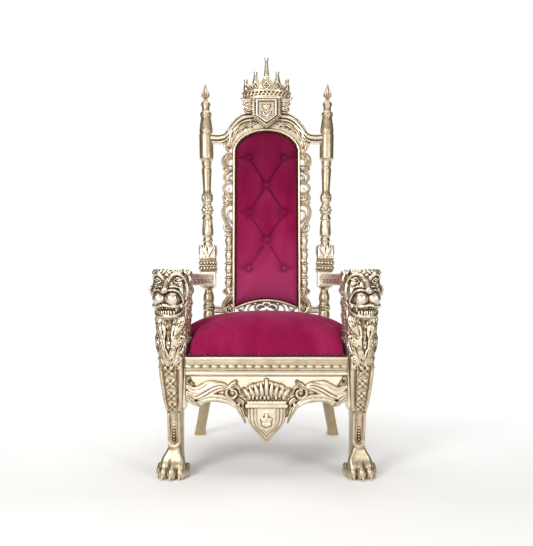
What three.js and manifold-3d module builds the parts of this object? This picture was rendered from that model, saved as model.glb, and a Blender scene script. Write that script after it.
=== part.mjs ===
// Carved lion throne in gilded hardwood with a domed velvet seat and a tall button-tufted back.
// Millimetres. +Z is up, the sitter looks along -Y, and the origin is on the floor under the middle
// of the chair. "Left" is the -X side, as seen by someone who stands in front of the throne.
import * as THREE from "three";
import { mergeVertices } from "three/addons/utils/BufferGeometryUtils.js";
import Module from "manifold-3d";

// ---------------------------------------------------------------- driving dimensions
const GAP = 0.3; // glue line left between two pieces that touch
const degrees = THREE.MathUtils.degToRad;

const RAIL_TOP = 448; // top of the seat rails, where the cushion starts
const RAIL_BOTTOM = 376; // underside of the moulded front rail
const FRONT_FACE = -318; // front of the front rail
const RAIL_THICK = 32;

const LEG_X = 350; // axis of each lion leg
const LEG_Y = -285;
const LEG_TURN = degrees(10); // the lions look a little outwards
const LEG_BLOCK = { inner: 300, outer: 372, front: -305, back: -238, bottom: 250 };

const REAR_BLOCK = { inner: 226, outer: 300, front: 212, back: 280, bottom: 364 };

const ARM_TOP = 760;
const ARM_HEIGHT = 48;
const ARM_WIDTH = 54;

const CUSHION_TOP = 586;

const BACK_Y = 245; // foot of the back, at rail height
const BACK_LEAN = degrees(4);
const POST_X = 262; // post axis at rail height
const POST_SPLAY = degrees(1.3);
const POST_BLOCK = { half: 35, bottom: 253, top: 447 };

const PANEL_HALF = 145; // half the width of the upholstered back panel
const PANEL_SPRING = 886; // where its arched head starts
const PANEL_TOP = 986;
const PANEL_BOTTOM = 166;
const RIM = 14; // width of the moulded rim round the panel
const FRAME_HALF = 14; // half the thickness of the back frame
const BUTTONS = [[-82, 860], [82, 860], [0, 728], [-82, 598], [82, 598], [0, 468], [-82, 338], [82, 338]];

const SHIELD = { half: 70, top: 1142, shoulder: 1053, tip: 994 };
const CROWN = { half: 104, bottom: 1143, band: 1182, bend: 150 };

const GILT = { color: 0xb9a47c, roughness: 0.38, metalness: 0.85 };
const VELVET = { color: 0x8f1f4f, roughness: 0.85, metalness: 0 };
const DARK_WOOD = { color: 0x4a3222, roughness: 0.7, metalness: 0 };

// ---------------------------------------------------------------- solids
const wasm = await Module();
wasm.setup();

function solid(geometry) {
  const loose = geometry.index ? geometry.toNonIndexed() : geometry;
  const bare = new THREE.BufferGeometry();
  bare.setAttribute("position", loose.getAttribute("position"));
  const merged = mergeVertices(bare, 1e-3);
  const triVerts = new Uint32Array(merged.index.array);
  const vertProperties = merged.attributes.position.array;
  const body = new wasm.Manifold(new wasm.Mesh({ numProp: 3, vertProperties, triVerts }));
  if (body.volume() > 0) return body;
  for (let i = 0; i < triVerts.length; i += 3) {
    [triVerts[i + 1], triVerts[i + 2]] = [triVerts[i + 2], triVerts[i + 1]];
  }
  return new wasm.Manifold(new wasm.Mesh({ numProp: 3, vertProperties, triVerts }));
}

function geometryOf(body) {
  const mesh = body.getMesh();
  const geometry = new THREE.BufferGeometry();
  geometry.setAttribute("position", new THREE.BufferAttribute(mesh.vertProperties, 3));
  geometry.setIndex(new THREE.BufferAttribute(mesh.triVerts, 1));
  geometry.computeVertexNormals();
  return geometry;
}

const join = (...bodies) => bodies.flat(Infinity).reduce((sum, body) => sum.add(body));
const moved = (body, matrix) => solid(geometryOf(body).applyMatrix4(matrix));
const mirrored = (body) => moved(body, new THREE.Matrix4().makeScale(-1, 1, 1));
const bothSides = (body) => [body, mirrored(body)];
const point = (x, y, z) => new THREE.Vector3(x, y, z);
const FACING_FRONT = point(0, 1, 0);
const UPWARDS = point(0, 0, 1);

function block(x0, x1, y0, y1, z0, z1) {
  const box = new THREE.BoxGeometry(x1 - x0, y1 - y0, z1 - z0);
  return solid(box.translate((x0 + x1) / 2, (y0 + y1) / 2, (z0 + z1) / 2));
}

function ball(x, y, z, rx, ry = rx, rz = rx, around = 6, down = 4) {
  const sphere = new THREE.SphereGeometry(1, around, down).rotateX(Math.PI / 2);
  return solid(sphere.scale(rx, ry, rz).translate(x, y, z));
}

const pathOf = (outline, Kind) => new Kind(outline.map(([x, y]) => new THREE.Vector2(x, y)));

// A standing plate: an outline in X and Z, from y0 to y1.
function plate(outline, y0, y1, holes = []) {
  const shape = pathOf(outline, THREE.Shape);
  shape.holes = holes.map((hole) => pathOf(hole, THREE.Path));
  const geometry = new THREE.ExtrudeGeometry(shape, { depth: y1 - y0, bevelEnabled: false });
  return solid(geometry.rotateX(Math.PI / 2).translate(0, y1, 0));
}

// A lying plate: an outline in X and Y, from z0 to z1.
function slab(outline, z0, z1) {
  const shape = pathOf(outline, THREE.Shape);
  const geometry = new THREE.ExtrudeGeometry(shape, { depth: z1 - z0, bevelEnabled: false });
  return solid(geometry.translate(0, 0, z0));
}

// A turned piece about the Z axis, from a profile of [radius, height] pairs.
function turned(profile, around = 7) {
  const points = profile.map(([r, z]) => new THREE.Vector2(r, z));
  points.unshift(new THREE.Vector2(0, profile[0][1]));
  points.push(new THREE.Vector2(0, profile.at(-1)[1]));
  return solid(new THREE.LatheGeometry(points, around).rotateX(Math.PI / 2));
}

// A carved limb: rounded square sections [z, centre x, centre y, half width, half depth] in a stack.
function limb(sections, around = 8, squareness = 2.7) {
  const steps = sections.length - 1;
  const stack = new THREE.CylinderGeometry(1, 1, 1, around, steps);
  const at = stack.getAttribute("position");
  const bulge = (v) => Math.sign(v) * Math.abs(v) ** (2 / squareness);
  for (let i = 0; i < at.count; i++) {
    const [z, cx, cy, halfWidth, halfDepth] = sections[Math.round((at.getY(i) + 0.5) * steps)];
    at.setXYZ(i, cx + halfWidth * bulge(at.getX(i)), cy + halfDepth * bulge(at.getZ(i)), z);
  }
  return solid(stack);
}

// A tapered strand through [x, y, z] points, with one ridge away from the facing direction. The radii
// run along it evenly, and flat scales its thickness.
function strand(points, radii, { facing = FACING_FRONT, flat = 1, steps = 3 } = {}) {
  const path = new THREE.CatmullRomCurve3(points.map((p) => point(...p)));
  const rod = new THREE.CylinderGeometry(1, 1, 1, 3, steps);
  const at = rod.getAttribute("position");
  for (let i = 0; i < at.count; i++) {
    const t = at.getY(i) + 0.5;
    const along = path.getTangent(t);
    const across = along.clone().cross(facing).normalize();
    const out = across.clone().cross(along).normalize();
    const k = t * (radii.length - 1);
    const low = Math.min(Math.floor(k), radii.length - 2);
    const radius = THREE.MathUtils.lerp(radii[low], radii[low + 1], k - low);
    const place = path.getPoint(t);
    place.addScaledVector(across, at.getX(i) * radius * 1.15);
    place.addScaledVector(out, -at.getZ(i) * radius * flat);
    at.setXYZ(i, place.x, place.y, place.z);
  }
  return solid(rod);
}

// A strand that lies in the X-Z plane at depth y, as in pierced or relief scrollwork.
function scroll(points, radii, y, flat = 1, steps = points.length - 1) {
  return strand(points.map(([x, z]) => [x, y, z]), radii, { flat, steps });
}

// The lozenge that a flower of four petals fills, facing -Y.
function rosette(x, y, z, radius) {
  return plate([[x - radius, z], [x, z + radius], [x + radius, z], [x, z - radius]], y - 5, y + 10);
}

// ---------------------------------------------------------------- front legs
// Lion, leg and paw are carved from one piece. In the leg's own frame +X points towards the
// middle of the chair and the lion looks along -Y.
function lionHead() {
  const snout = limb([
    [582, 0, -46, 20, 16], [602, 0, -46, 40, 30], [634, 0, -46, 44, 34], [664, 0, -46, 48, 40],
    [692, 0, -52, 30, 30], [722, 0, -48, 16, 22], [758, 0, -40, 26, 22],
  ], 8);
  const nose = ball(0, -86.6, 697, 15, 15, 11, 6, 3);
  const half = [
    ball(24, -72, 663, 26, 24, 27, 6, 3), // whisker pad
    ball(46, -42, 733, 14, 13, 9, 4, 3), // eye
    strand([[10, -62, 742], [40, -60, 756], [62, -36, 744]], [8, 12, 6], { steps: 2 }), // brow
    strand([[-4, -86, 637], [32, -76, 638], [58, -34, 656]], [7, 8, 10], { facing: UPWARDS, steps: 2 }), // lip
  ];
  const mouth = ball(0, -66, 622, 46, 44, 10, 6, 3);
  return join(snout, nose, half.map(bothSides)).subtract(mouth);
}

// Locks of the mane fall from the cheeks to the breast.
function mane() {
  const locks = [
    [[56, -22, 744], [66, -14, 640], [48, -30, 490]],
    [[56, 20, 744], [66, 22, 634], [48, 14, 494]],
  ].map((line) => strand(line, [8, 14, 3], { steps: 2 }));
  const low = { flat: 0.8, steps: 2 };
  const breast = strand([[40, -30, 590], [34, -48, 544], [20, -52, 490]], [12, 14, 3], low);
  const beard = strand([[0, -40, 592], [0, -52, 556], [0, -44, 514]], [26, 16, 4], low);
  return [[...locks, breast].map(bothSides), beard];
}

// Leaf fan on the knee, four flowers below it, and the long round-ended panel on the shin.
function legCarving() {
  const leaves = [-1, 1].map((i) => strand(
    [[2 + i * 8, -50, 420], [2 + i * 22, -52, 444], [2 + i * 34, -44, 470]],
    [10, 14, 3], { flat: 0.7, steps: 2 },
  ));
  const flowers = [[2, -52, 403, 19], [5, -49, 352, 18], [7, -43, 306, 17], [9, -37, 260, 16]];
  const rim = (halfWidth, top, bottom) => {
    const arc = [0, 1, 2, 3].map((i) => {
      const angle = Math.PI * (1 + i / 3);
      return [11 + halfWidth * Math.cos(angle), bottom + halfWidth * (1 + Math.sin(angle))];
    });
    return [[11 - halfWidth, top], ...arc, [11 + halfWidth, top]];
  };
  const panel = plate(rim(22, 238, 112), -34, -12, [rim(13, 230, 122)]);
  return [leaves, flowers.map((flower) => rosette(...flower)), panel];
}

function paw() {
  const toes = [[-18, -56, 25, 16, 24], [12, -62, 26, 17, 25], [40, -50, 25, 15, 24], [-36, -32, 23, 12, 24]];
  return toes.map(([x, y, z, wide, long]) => ball(x, y, z, wide, long, z, 5, 3));
}

function frontLeg() {
  const body = limb([
    [0, 10, -18, 42, 44], [34, 10, -20, 44, 48], [66, 10, -11, 36, 39], [110, 11, 2, 29, 29],
    [200, 11, 2, 29, 31], [262, 8, -1, 34, 36], [340, 5, -6, 41, 43], [430, 2, -9, 47, 48],
    [600, -2, 6, 50, 48], [660, -2, 8, 58, 53], [745, -2, 8, 60, 54], [768, -2, 8, 50, 46],
  ]);
  const carved = join(body, lionHead(), mane(), legCarving(), paw());
  const trimmed = carved
    .subtract(block(-120, 120, 60, 140, 560, 800)) // flat back of the head, where the arm is glued
    .subtract(block(-140, 140, -140, 140, -60, 0)); // flat sole
  const placing = new THREE.Matrix4().makeRotationZ(-LEG_TURN).setPosition(-LEG_X, LEG_Y, 0);
  const b = LEG_BLOCK;
  const [low, high] = [b.bottom - 12, RAIL_TOP + 14];
  const core = block(-b.outer, -b.inner, b.front, b.back, b.bottom, RAIL_TOP);
  return join(moved(trimmed, placing), core)
    .subtract(block(-b.inner, -b.inner + 90, -420, -120, low, high)) // seat for the front rail
    .subtract(block(-b.outer - 60, -b.inner + 60, b.back, b.back + 90, low, high)); // and the side rail
}

// ---------------------------------------------------------------- rear legs
function rearLeg() {
  const b = REAR_BLOCK;
  const cx = -(b.inner + b.outer) / 2;
  const cy = (b.front + b.back) / 2;
  const sweep = limb([
    [0, cx - 54, cy + 109, 28, 28], [30, cx - 50, cy + 100, 24, 24], [110, cx - 33, cy + 62, 24, 25],
    [210, cx - 14, cy + 24, 27, 28], [310, cx - 3, cy + 5, 31, 31], [380, cx, cy, 34, 33],
  ], 8, 6);
  return join(sweep, block(-b.outer, -b.inner, b.front, b.back, b.bottom, RAIL_TOP));
}

// ---------------------------------------------------------------- seat frame
// Profile in Y and Z: top bead, cove, flat band for the dashes, fillet and a half round at the foot.
function frontRail() {
  const f = FRONT_FACE;
  const t = RAIL_TOP;
  const half = LEG_BLOCK.inner - GAP;
  const roll = [0, 1, 2, 3, 4].map((i) => {
    const angle = Math.PI * (0.5 - i / 4);
    return [f + 4 - 9 * Math.cos(angle), 386 + 10 * Math.sin(angle)];
  });
  const profile = [
    [f + RAIL_THICK, RAIL_BOTTOM], [f + RAIL_THICK, t], [f - 4, t], [f - 8, t - 6], [f - 8, t - 12],
    [f - 1, t - 24], [f - 4, t - 28], [f - 4, t - 42], [f + 1, t - 46], [f + 1, t - 52], ...roll,
  ];
  const depth = 2 * half;
  const bar = new THREE.ExtrudeGeometry(pathOf(profile, THREE.Shape), { depth, bevelEnabled: false });
  // The extrusion's own X, Y and Z become the throne's Y, Z and X.
  bar.applyMatrix4(new THREE.Matrix4().makeBasis(point(0, 1, 0), point(0, 0, 1), point(1, 0, 0)));
  return solid(bar.translate(-half, 0, 0));
}

function sideRail() {
  const front = LEG_BLOCK;
  const back = REAR_BLOCK;
  const plan = (inset) => [
    [-front.outer + inset, front.back + GAP], [-front.outer + RAIL_THICK, front.back + GAP],
    [-back.outer + RAIL_THICK, back.front - GAP], [-back.outer + inset, back.front - GAP],
  ];
  return join(slab(plan(0), 404, RAIL_TOP), slab(plan(-3), 372, 390), slab(plan(6), 320, 410));
}

function rearRail() {
  const half = REAR_BLOCK.inner - GAP;
  return block(-half, half, BACK_Y - 14, BACK_Y + 16, 370, RAIL_TOP);
}

function seatDeck() {
  const inner = LEG_BLOCK.inner - GAP;
  const front = LEG_BLOCK.back + GAP;
  const rear = REAR_BLOCK.front - GAP;
  const sideFront = LEG_BLOCK.outer - RAIL_THICK - 1;
  const sideBack = REAR_BLOCK.outer - RAIL_THICK - 1;
  const rearInner = REAR_BLOCK.inner - GAP;
  const half = [
    [inner, FRONT_FACE + RAIL_THICK + GAP], [inner, front], [sideFront, front],
    [sideBack, rear], [rearInner, rear], [rearInner, BACK_Y - 14 - GAP],
  ];
  return slab([...half, ...half.map(([x, y]) => [-x, y]).reverse()], 424, RAIL_TOP - GAP);
}

// Apron under the front rail: leafy scrolls, a shell over a row of beads, and a hanging shield.
function apron() {
  const half = LEG_BLOCK.inner - GAP;
  const y = FRONT_FACE;
  const top = RAIL_BOTTOM - GAP;
  const right = [[half, 284], [262, 262], [248, 262], [192, 279], [150, 273], [112, 256], [88, 236], [74, 216]];
  const left = right.toReversed().map(([x, z]) => [-x, z]);
  const board = plate([[half, top], ...right, [0, 220], ...left, [-half, top]], y + 2, y + 24);
  const eye = ball(126, y, 312, 11, 60, 9);
  const relief = [
    scroll([[292, 298], [262, 282], [232, 302], [184, 328], [140, 320]], [7, 10, 8, 6], y, 1.1),
    scroll([[262, 268], [212, 288], [150, 284], [104, 258], [84, 226]], [10, 8, 8, 3], y, 1.1),
    scroll([[282, 334], [240, 316], [190, 344], [148, 340]], [5, 8, 7, 5], y, 1.1),
    scroll([[144, 300], [116, 296], [106, 318], [144, 336]], [5, 7, 7, 6], y, 1.2),
  ];
  const shell = [-60, -30, 0, 30, 60].map((turn) => {
    const [s, c] = [Math.sin(degrees(turn)), Math.cos(degrees(turn))];
    const reach = 52 + 8 * c ** 2;
    return scroll([[40 * s, 300], [1.5 * reach * s, 304 + reach * c]], [12, 9], y - 2, 0.8);
  });
  const beads = [-2, -1, 0, 1, 2].map((i) => ball(28 * i, y - 6, 297, 11, 12, 9, 4, 3));
  const shield = (s, front) => {
    const edge = [[72 * s, 262], [70 * s, 208], [44 * s, 178]];
    const other = edge.toReversed().map(([x, z]) => [-x, z]);
    return plate([...edge, [0, 208 - 80 * s], ...other], front, y + 16);
  };
  return join(
    board.subtract(join(bothSides(eye))), relief.map(bothSides), shell, beads,
    plate([[-80, 260], [-80, 276], [80, 276], [80, 260]], y - 14, y + 14),
    plate([[-70, 272], [-76, 306], [76, 306], [70, 272]], y - 8, y + 4),
    shield(1, y - 4), shield(0.7, y - 10), ball(0, y - 10, 226, 16, 7, 22, 6, 3),
  );
}

// ---------------------------------------------------------------- arms
// The middle line runs from the flat back of the lion's head to the block of the post.
function arm(postRoom) {
  const front = new THREE.Vector2(0, 60 + GAP).rotateAround(new THREE.Vector2(), -LEG_TURN);
  const fx = -LEG_X + front.x;
  const fy = LEG_Y + front.y;
  const bx = -(POST_X + (ARM_TOP - RAIL_TOP) * Math.tan(POST_SPLAY));
  const slope = Math.tan(LEG_TURN);
  const plan = (side) => {
    const w = ARM_WIDTH / 2 + side;
    return [[fx - w, fy + w * slope], [fx + w, fy - w * slope], [bx + w, BACK_Y], [bx - w, BACK_Y]];
  };
  const foot = ARM_TOP - ARM_HEIGHT;
  const bar = join(
    slab(plan(-6), ARM_TOP - 8, ARM_TOP), slab(plan(0), ARM_TOP - 18, ARM_TOP - 6),
    slab(plan(-7), foot + 4, ARM_TOP - 16), slab(plan(-3), foot, foot + 10),
  );
  return bar.subtract(postRoom);
}

// ---------------------------------------------------------------- back posts
// Built upright on the Z axis, in the frame of the leaning back.
function postProfile(extra = 0) {
  return [
    [27, -40], [27, 72], [23, 90], [27, 122], [24, 143], [28, 162], [23, 184], [25, 204], [17, 240],
    [30, 262], [30, 430], [20, 458], [26, 500], [21, 562], [25, 576], [19, 590], [25, 614], [19, 640],
    [24, 662], [18, 710], [23, 806], [19, 818], [33, 858], [33, 974], [24, 1050],
    [27, 1071], [17, 1090], [17, 1106], [22, 1119], [8, 1142], [16, 1161], [1.5, 1213],
  ].map(([r, z]) => [r + extra, z]);
}

// The axis of the left post leans outwards as it rises.
const leftPostPlace = new THREE.Matrix4().makeRotationY(-POST_SPLAY).setPosition(-POST_X, 0, 0);

function postBlock(extra = 0) {
  const h = POST_BLOCK.half + extra;
  const band = block(-h - 3, h + 3, -h - 3, h + 3, 346 - extra, 387 + extra);
  return moved(block(-h, h, -h, h, POST_BLOCK.bottom - extra, POST_BLOCK.top + extra).add(band), leftPostPlace);
}

function backPost(backMatrix) {
  const leaf = strand([[0, -31, 440], [0, -36, 414], [0, -34, 392]], [9, 20, 5], { flat: 0.4, steps: 2 });
  const upright = join(moved(join(turned(postProfile()), leaf), leftPostPlace), postBlock());
  // The foot is sawn level, on top of the rear leg.
  const level = moved(block(-500, 500, -300, 300, -400, RAIL_TOP + GAP), backMatrix.clone().invert());
  return upright.subtract(level);
}

// ---------------------------------------------------------------- leaning back frame
// Arched head of the panel from right to left, grown by the given amount.
function archHead(grow, steps = 10) {
  return Array.from({ length: steps + 1 }, (_, i) => {
    const angle = (i / steps) * Math.PI;
    const rise = PANEL_TOP + grow - PANEL_SPRING;
    return [(PANEL_HALF + grow) * Math.cos(angle), PANEL_SPRING + rise * Math.sin(angle)];
  });
}

// Hollow-curved foot of the panel from left to right.
function panelFoot(grow, steps = 6) {
  const half = PANEL_HALF + grow;
  return Array.from({ length: steps + 1 }, (_, i) => {
    const x = -half + (2 * half * i) / steps;
    return [x, PANEL_BOTTOM - grow + 34 * (1 - (x / half) ** 2)];
  });
}

const smooth = (points, count) =>
  new THREE.CatmullRomCurve3(points.map(([x, z]) => point(x, 0, z))).getPoints(count).map((p) => [p.x, p.z]);

// Ogee crest rail, its leafy filling and the arched head of the rim, in one piece.
function crestRail(postRoom, shieldRoom) {
  const outer = smooth([[266, 976], [222, 974], [192, 984], [166, 1020], [138, 1054], [106, 1074], [66, 1080]], 7);
  const inner = smooth([[266, 930], [214, 930], [184, 944], [158, 984], [128, 1014], [98, 1030], [60, 1034]], 7);
  const mirror = (line) => line.map(([x, z]) => [-x, z]);
  const between = (t) => outer.map(([x, z], i) => [x + t * (inner[i][0] - x), z + t * (inner[i][1] - z)]);
  const ogee = (t, front) => {
    const [high, low] = [between(t), between(1 - t)];
    return plate([...high, ...mirror(high).reverse(), ...mirror(low), ...low.toReversed()], front, FRAME_HALF);
  };
  const filling = plate([
    ...archHead(RIM - 2).slice(0, 6), [0, 1040], [70, 1036], [124, 1016], [160, 982], [186, 942], [196, 934],
    [186, 908], [178, PANEL_SPRING + GAP], [159, PANEL_SPRING + GAP],
  ], -FRAME_HALF + 6, FRAME_HALF - 4);
  const holes = [[76, 1020, 9, 6], [108, 1002, 7, 5]].map(([x, z, rx, rz]) => ball(x, 0, z, rx, 60, rz, 3, 3));
  const leaves = [
    scroll([[60, 1008], [92, 1014], [124, 992]], [5, 9, 3], -9, 1),
    scroll([[138, 996], [176, 950], [184, 888]], [5, 12, 3], -9, 1),
  ];
  const rim = plate([...archHead(RIM), ...archHead(0.4).reverse()], -FRAME_HALF - 6, FRAME_HALF);
  const belowSpring = block(-300, 300, -60, 60, 700, PANEL_SPRING + GAP);
  const half = filling.subtract(join(holes)).add(join(leaves));
  return join(ogee(0, -FRAME_HALF), ogee(0.3, -FRAME_HALF - 8), bothSides(half), rim.subtract(belowSpring))
    .subtract(postRoom)
    .subtract(shieldRoom);
}

// One side of the frame: the straight rim, and outside it the pierced carving.
function backStile(postRoom) {
  const rimOut = PANEL_HALF + RIM;
  const rim = block(-rimOut, -PANEL_HALF - 0.4, -FRAME_HALF - 6, FRAME_HALF, 60, PANEL_SPRING - GAP);
  const curls = [
    // C scroll under the crest
    [[[-156, 874], [-184, 868], [-198, 838], [-160, 798]], [7, 9, 9, 7]],
    // serpentine vine
    [
      [[-160, 800], [-194, 768], [-166, 742], [-196, 716], [-164, 690], [-196, 668], [-156, 640]],
      [8, 9, 7, 9, 7, 9, 8],
    ],
    // long curve, its inner tendril and the hook at its foot
    [[[-156, 640], [-192, 628], [-198, 584], [-160, 508]], [8, 9, 9, 8]],
    [[[-156, 612], [-178, 600], [-158, 552]], [5, 7, 5]],
    [[[-188, 558], [-200, 526], [-156, 502]], [6, 11, 8]],
    // hook and console above the volute
    [[[-198, 222], [-194, 246], [-156, 222]], [6, 9, 10]],
    [[[-172, 240], [-190, 180], [-172, 130]], [14, 16, 12]],
  ];
  const vaseAt = (z) => [[12, z], [19, z + 36], [21, z + 58]];
  const column = turned([0, 1, 2, 3].flatMap((i) => vaseAt(240 + 65 * i)), 6);
  const vases = moved(column, new THREE.Matrix4().makeTranslation(-173, 0, 0));
  const console = ball(-176, -6, 152, 20, 22, 22);
  const tieRail = block(-272, -170, -10, 10, 134, 170);
  const foot = block(-184, -150, -10, 10, 60, 150);
  const carved = curls.map(([line, radii]) =>
    scroll(line, radii, 0, 1.4, Math.ceil(1.4 * (line.length - 1))));
  return join(rim, carved, vases, console, tieRail, foot)
    .subtract(postRoom);
}

// Arched lower rail with a pierced lattice of lozenges.
function bottomRail() {
  const half = PANEL_HALF - 0.6;
  const foot = (down) => panelFoot(-0.6).map(([x, z]) => [x, z - down]);
  const arch = plate([...foot(0.3), ...foot(17).reverse()], -FRAME_HALF - 4, FRAME_HALF);
  const lattice = [
    [[[0, 178], [96, 106]], [6, 6]],
    [[[-2, 148], [44, 106]], [5, 5]],
    [[[30, 180], [52, 160], [40, 136]], [6, 8, 5]],
    [[[134, 142], [112, 106]], [8, 7]],
  ].map(([line, radii]) => bothSides(scroll(line, radii, 0, 1.4)));
  return join(arch, block(-half, half, -12, 12, 70, 112), lattice, scroll([[0, 186], [0, 106]], [6, 6], 0));
}

function backPad() {
  const layers = [[0, -8], [20, -23]].map(([inward, front]) => {
    const grow = -0.4 - GAP - inward;
    return plate([...archHead(grow), ...panelFoot(grow)], front, FRAME_HALF - 8);
  });
  return join(layers).subtract(join(BUTTONS.map(([x, z]) => onPanel(turned([[13, 0], [23, 14]], 6), x, z))));
}

// Turns a small thing built on +Z to face -Y from the bottom of a tuft.
function onPanel(body, x, z, lift = 0) {
  return moved(body, new THREE.Matrix4().makeRotationX(Math.PI / 2).setPosition(x, -10 - lift, z));
}

function backBoard() {
  const grow = RIM - 4;
  return plate([...archHead(grow), ...panelFoot(grow)], FRAME_HALF + GAP, FRAME_HALF + 12);
}

// ---------------------------------------------------------------- crest shield and crown
function shieldOutline(inset) {
  const half = SHIELD.half - inset;
  const top = SHIELD.top - inset * 0.7;
  const tip = SHIELD.tip + inset * 1.1;
  return [[-half, top], [-half, SHIELD.shoulder], [0, tip], [half, SHIELD.shoulder], [half, top]];
}

function crestShield() {
  const front = -FRAME_HALF - 26;
  const nested = [[0, 0], [9, -8], [24, -13]].map(([inset, step]) =>
    plate(shieldOutline(inset), front + step, -FRAME_HALF - 10));
  const recess = plate(shieldOutline(34), front - 20, front - 7);
  const brace = block(-46, 46, -FRAME_HALF - 12, FRAME_HALF - 2, SHIELD.shoulder + 32, SHIELD.top);
  const flower = rosette(0, front - 6, 1080, 24);
  const sprays = [
    [[[62, 1122], [88, 1120], [120, 1140]], [14, 12, 2]],
    [[[62, 1096], [90, 1090], [110, 1112]], [12, 11, 4]],
  ].map(([line, radii]) => bothSides(scroll(line, radii, front + 12, 0.8)));
  return join(nested, brace, sprays).subtract(recess).add(flower);
}

// Open coronet of five points with a ball on each, bowed forward in plan.
function crown() {
  const bow = (grow) => {
    const radius = CROWN.bend + grow;
    return Array.from({ length: 7 }, (_, i) => {
      const angle = degrees(-45.5 + (91 / 6) * i);
      return [radius * Math.sin(angle), CROWN.bend - 26 - radius * Math.cos(angle)];
    });
  };
  const ring = (grow, z0, z1) => slab([...bow(grow), ...bow(-8).reverse()], z0, z1);
  const tips = [[0, 1327, 10.5], [47, 1265, 9.5], [96, 1238, 9.5]];
  const half = [
    [0, 1327], [4, 1327], [7, 1250], [14, 1228], [22, 1214], [32, 1216], [43, 1264], [51, 1264], [56, 1222],
    [64, 1206], [76, 1208], [92, 1238], [100, 1236], [103, 1200], [105, 1142],
  ];
  const outline = [...half, ...half.slice(1).map(([x, z]) => [-x, z]).reverse()];
  const depthAt = (x) => CROWN.bend - 26 - Math.sqrt(CROWN.bend ** 2 - x ** 2);
  const balls = tips.map(([x, z, r]) => ball(x, depthAt(x) + 2, z, r, r, r, 6, 3));
  const jewels = [0, 46].map((x) => {
    const y = depthAt(x);
    return plate([[x - 14, 1197], [x, 1178], [x + 14, 1197], [x, 1217]], y - 6, y + 4);
  });
  const eyes = [0, 46].map((x) => ball(x, 0, 1197, 4, 130, 4, 4, 3));
  const lugs = [...balls, ...jewels].map(bothSides);
  const face = ring(0, CROWN.bottom, 1345).intersect(plate(outline, -200, 200));
  return join(face, lugs, ring(9, 1169, 1182), ring(9, CROWN.bottom, 1156))
    .subtract(join(eyes.map(bothSides)));
}

// ---------------------------------------------------------------- upholstered seat
// Domed cushion that narrows to the back, notched at its front corners for the lions.
function seatCushion() {
  const middle = -58;
  const levels = [[RAIL_TOP + GAP, 0], [512, -1], [534, 8], [556, 36], [574, 92], [CUSHION_TOP, 180]];
  const dome = geometryOf(limb(levels.map(([z, inset]) => [z, 0, middle, 1 - inset / 335, 257 - inset]), 12, 8));
  const at = dome.getAttribute("position");
  for (let i = 0; i < at.count; i++) at.setX(i, at.getX(i) * (335 - 0.168 * (at.getY(i) - middle)));
  const placing = new THREE.Matrix4().makeRotationZ(-LEG_TURN).setPosition(-LEG_X, LEG_Y, 0);
  const hollow = moved(
    limb([[RAIL_TOP - 20, 0, 0, 60, 60], [480, 0, 0, 66, 60], [540, 0, 0, 88, 60], [620, 0, 0, 96, 60]], 6),
    placing,
  );
  const notch = block(-420, -293, -400, -226, RAIL_TOP - 20, 640);
  return solid(dome).subtract(join(bothSides(join(hollow, notch))));
}

// ---------------------------------------------------------------- assembly
const gilt = new THREE.MeshStandardMaterial(GILT);
const velvet = new THREE.MeshStandardMaterial(VELVET);
const darkWood = new THREE.MeshStandardMaterial(DARK_WOOD);

function named(name, body, material) {
  const mesh = new THREE.Mesh(geometryOf(body), material);
  mesh.name = name;
  return mesh;
}

function pair(name, body, material) {
  return [named(name + "_left", body, material), named(name + "_right", mirrored(body), material)];
}

const throne = new THREE.Group();
const back = new THREE.Group();
back.rotation.x = -BACK_LEAN;
back.position.set(0, BACK_Y, RAIL_TOP);
back.updateMatrix();

const turnedRoom = moved(turned(postProfile(GAP)), leftPostPlace);
const shieldRoom = join(
  plate(shieldOutline(-GAP), -90, -FRAME_HALF - 10 + GAP),
  block(-46 - GAP, 46 + GAP, -60, FRAME_HALF + 20, SHIELD.shoulder + 32 - GAP, SHIELD.top + 30),
);

throne.add(
  ...pair("front_leg", frontLeg(), gilt),
  ...pair("rear_leg", rearLeg(), gilt),
  named("seat_rail_front", frontRail(), gilt),
  ...pair("seat_rail_side", sideRail(), gilt),
  named("seat_rail_rear", rearRail(), gilt),
  named("apron_front", apron(), gilt),
  named("seat_deck", seatDeck(), darkWood),
  named("seat_cushion", seatCushion(), velvet),
  ...pair("arm", arm(moved(postBlock(GAP), back.matrix)), gilt),
  back,
);
back.add(
  ...pair("back_post", backPost(back.matrix), gilt),
  named("crest_rail", crestRail(join(bothSides(turnedRoom)), shieldRoom), gilt),
  ...pair("back_stile", backStile(turnedRoom), gilt),
  named("back_bottom_rail", bottomRail(), gilt),
  named("back_pad", backPad(), velvet),
  named("back_board", backBoard(), velvet),
  named("crest_shield", crestShield(), gilt),
  named("crest_crown", crown(), gilt),
  ...BUTTONS.map(([x, z], i) =>
    named("back_button_" + (i + 1), onPanel(turned([[12, 0], [7, 8]], 6), x, z, GAP), velvet)),
);

export default throne;
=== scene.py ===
# Looks of the carved lion throne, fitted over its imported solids. Everything shown is in metres.
# Carving and upholstery are worked out in millimetres and scaled when they become meshes.
import math

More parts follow.
